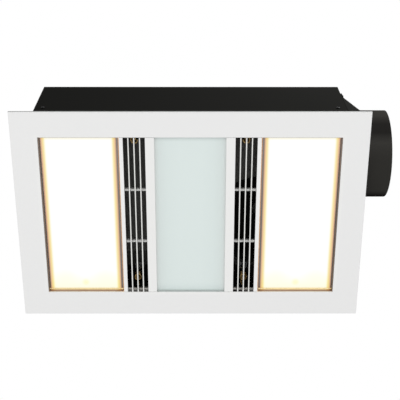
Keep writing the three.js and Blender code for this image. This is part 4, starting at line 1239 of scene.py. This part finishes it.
@dataclass
class PanScrews:
    """Pan-head screws with a cross recess, on the housing's walls and the adaptor's flange."""

    shank: float = 1.6
    length: float = 7.0
    head_radius: float = 3.0
    head_height: float = 2.2
    head_rim: float = 0.5  # its straight side
    head_inset: float = 0.2  # of its underside
    dome_angles: tuple[float, ...] = (0.0, 15.0, 30.0, 45.0, 55.0)
    cross_reach: float = 1.5
    cross_half: float = 0.42
    cross_depth: float = 1.1
    cross_taper: float = 0.7  # size of its bottom, as a share of its top
    steps: int = 32

    def build(self) -> None:
        """Makes one mesh and sets it at every screw's place."""
        mesh = self.screw_mesh()
        walls = itertools.product((("front", -1), ("rear", 1)), ("left", "right"))
        for (end, way), side in walls:
            self.place(mesh, f"wall_screw_{end}_{side}", Vector((0, way, 0)))
        for level, end in itertools.product(("lower", "upper"), ("front", "rear")):
            self.place(mesh, f"adaptor_screw_{level}_{end}", Vector((1, 0, 0)))

    def screw_mesh(self) -> bpy.types.Mesh:
        """The screw along +Z, from the face that its head sits on.

        Returns:
            The mesh, in metres.
        """
        crown = self.head_height - self.head_rim
        dome = [
            (self.head_radius * math.cos(a), GAP + self.head_rim + crown * math.sin(a))
            for a in map(math.radians, self.dome_angles)
        ]
        under = (self.head_radius - self.head_inset, GAP)
        profile = [(self.shank, -self.length), (self.shank, GAP), under, *dome]
        turn = [2 * math.pi * i / self.steps for i in range(self.steps)]
        work = bmesh.new()
        rings = [[work.verts.new((r * math.cos(a), r * math.sin(a), h)) for a in turn] for r, h in profile]
        for low, high in itertools.pairwise(rings):
            for i in range(self.steps):
                j = (i + 1) % self.steps
                work.faces.new((low[i], low[j], high[j], high[i]))
        work.faces.new(list(reversed(rings[0])))
        self.recess(work, rings[-1])
        bmesh.ops.scale(work, vec=(MM, MM, MM), verts=work.verts)
        return smooth_mesh("pan_screw", work, BLACK_ZINC)

    def recess(self, work: bmesh.types.BMesh, rim: list[bmesh.types.BMVert]) -> None:
        """Closes the head with a flat top that has a cross sunk into it.

        Args:
            work: The screw so far.
            rim: The dome's last ring.
        """
        height = rim[0].co.z
        near, far = self.cross_half, self.cross_reach
        arm = [(far, -near), (far, near), (near, near)]
        outline = [
            (x * c - y * s, x * s + y * c) for c, s in ((1, 0), (0, 1), (-1, 0), (0, -1)) for x, y in arm
        ]
        top = [work.verts.new((x, y, height)) for x, y in outline]
        share, bottom = self.cross_taper, height - self.cross_depth
        low = [work.verts.new((x * share, y * share, bottom)) for x, y in outline]
        edges = []
        for ring in (rim, top):
            for a, b in zip(ring, [*ring[1:], ring[0]], strict=True):
                edges.append(work.edges.get((a, b)) or work.edges.new((a, b)))
        bmesh.ops.triangle_fill(work, edges=edges, use_beauty=True)
        for i, a in enumerate(top):
            j = (i + 1) % len(top)
            work.faces.new((a, top[j], low[j], low[i]))
        work.faces.new(low)

    def place(self, mesh: bpy.types.Mesh, node: str, outwards: Vector) -> None:
        """Sets one screw where its CAD node is.

        Args:
            mesh: The screw along +Z.
            node: The CAD node.
            outwards: Way that its head points.
        """
        low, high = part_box(node)
        reach = (GAP + self.head_height) * MM
        seat = (low + high) / 2
        for axis, way in enumerate(outwards):
            if way:
                seat[axis] = (high if way > 0 else low)[axis] - way * reach
        screw = bpy.data.objects.new(f"pan_{node}", mesh)
        turn = outwards.to_track_quat("Z", "Y").to_matrix().to_4x4()
        screw.matrix_world = Matrix.Translation(seat) @ turn
        enter(screw, "housing", node)
        log.info("%s: pan head", node)


@dataclass
class TerminalBox:
    """Supply terminals in a small box on the housing's top, with a cable gland."""

    axis_y: float = 84.0
    axis_z: float = 215.4
    wall_x: float = -190.0  # outside of the box's left wall
    bore: float = 4.2
    thread: float = 8.0
    nut: float = 9.6
    hexagon: float = 11.2
    dome: float = 9.5
    wall: float = 2.1
    collar: float = 6.0
    dome_length: float = 12.0
    dome_straight: float = 0.55  # share of its length before it rounds over
    dome_angles: tuple[float, ...] = (20.0, 40.0, 60.0, 75.0)
    dome_step: float = 0.4  # in, where it rounds over
    mouth: float = 2.2  # width of the ring round the cable
    nut_length: float = 4.0
    collar_edge: float = 0.6
    grip_depth: float = 0.35
    steps: int = 72
    grips: int = 12
    box_edge: float = 0.8
    block_edge: float = 0.5

    def build(self) -> None:
        """Dresses the box and makes the gland."""
        dress(BLACK_MOULDING, self.box_edge, "terminal_box", "terminal_lid")
        dress(WHITE_CASE, self.block_edge, "terminal_block")
        self.gland()

    def hexagonal(self, angle: float) -> float:
        """Radius of the hexagon at an angle."""
        sector = math.pi / 3
        return self.hexagon * math.cos(sector / 2) / math.cos(angle % sector - sector / 2)

    def gland(self) -> None:
        """Nut inside the box, thread, hexagon collar and a fluted dome, along -X."""
        half = math.pi / 2

        def plain(radius: float) -> Callable[[float], float]:
            """The same radius all round."""
            return lambda _: radius

        def fluted(angle: float) -> float:
            """Radius of the dome nut with its grips."""
            return self.dome - self.grip_depth * (0.5 + 0.5 * math.cos(self.grips * angle))

        end = self.wall + self.collar
        straight = self.dome_straight
        rows: list[tuple[Callable[[float], float], float]] = [
            (plain(self.bore), -GAP - self.nut_length),
            (plain(self.nut), -GAP - self.nut_length),
            (plain(self.nut), -GAP),
            (plain(self.thread), -GAP),
            (plain(self.thread), self.wall),
            (self.hexagonal, self.wall),
            (self.hexagonal, end - self.collar_edge),
            (lambda angle: self.hexagonal(angle) - self.collar_edge, end),
            (fluted, end),
            (fluted, end + self.dome_length * straight),
        ]
        inner = self.bore + self.mouth
        for angle in map(math.radians, self.dome_angles):
            radius = inner + (self.dome - self.dome_step - inner) * math.cos(angle)
            height = self.dome_length * (straight + (1 - straight) * math.sin(angle))
            rows.append((plain(radius), end + height))
        rows.append((plain(self.bore), end + self.dome_length))
        inside = self.wall_x + self.wall - GAP
        rings = []
        for radius, along in rows:
            ring = []
            for i in range(self.steps):
                angle = 2 * math.pi * i / self.steps
                reach = radius(angle + half)
                y = self.axis_y + reach * math.cos(angle)
                ring.append((inside - along, y, self.axis_z + reach * math.sin(angle)))
            rings.append(ring)
        vertices = list(itertools.chain(*rings))
        faces = skin(rings, closed=True)
        add_piece("supply_gland", vertices, faces, BLACK_MOULDING, "housing", "cable_gland")


def main() -> None:
    """Builds the surroundings and dresses the heater, sub-assembly by sub-assembly."""
    logging.basicConfig(level=logging.INFO, format="%(name)s %(message)s")
    PhotoCamera().build()
    Studio().build()
    Housing().build()
    DuctAdaptor().build()
    BackdraftDamper().build()
    FanUnit().build()
    HeatLamps().build()
    LightPanel().build()
    Fascia().build()
    FasciaSprings().build()
    PanScrews().build()
    TerminalBox().build()


if __name__ == "__main__":
    main()
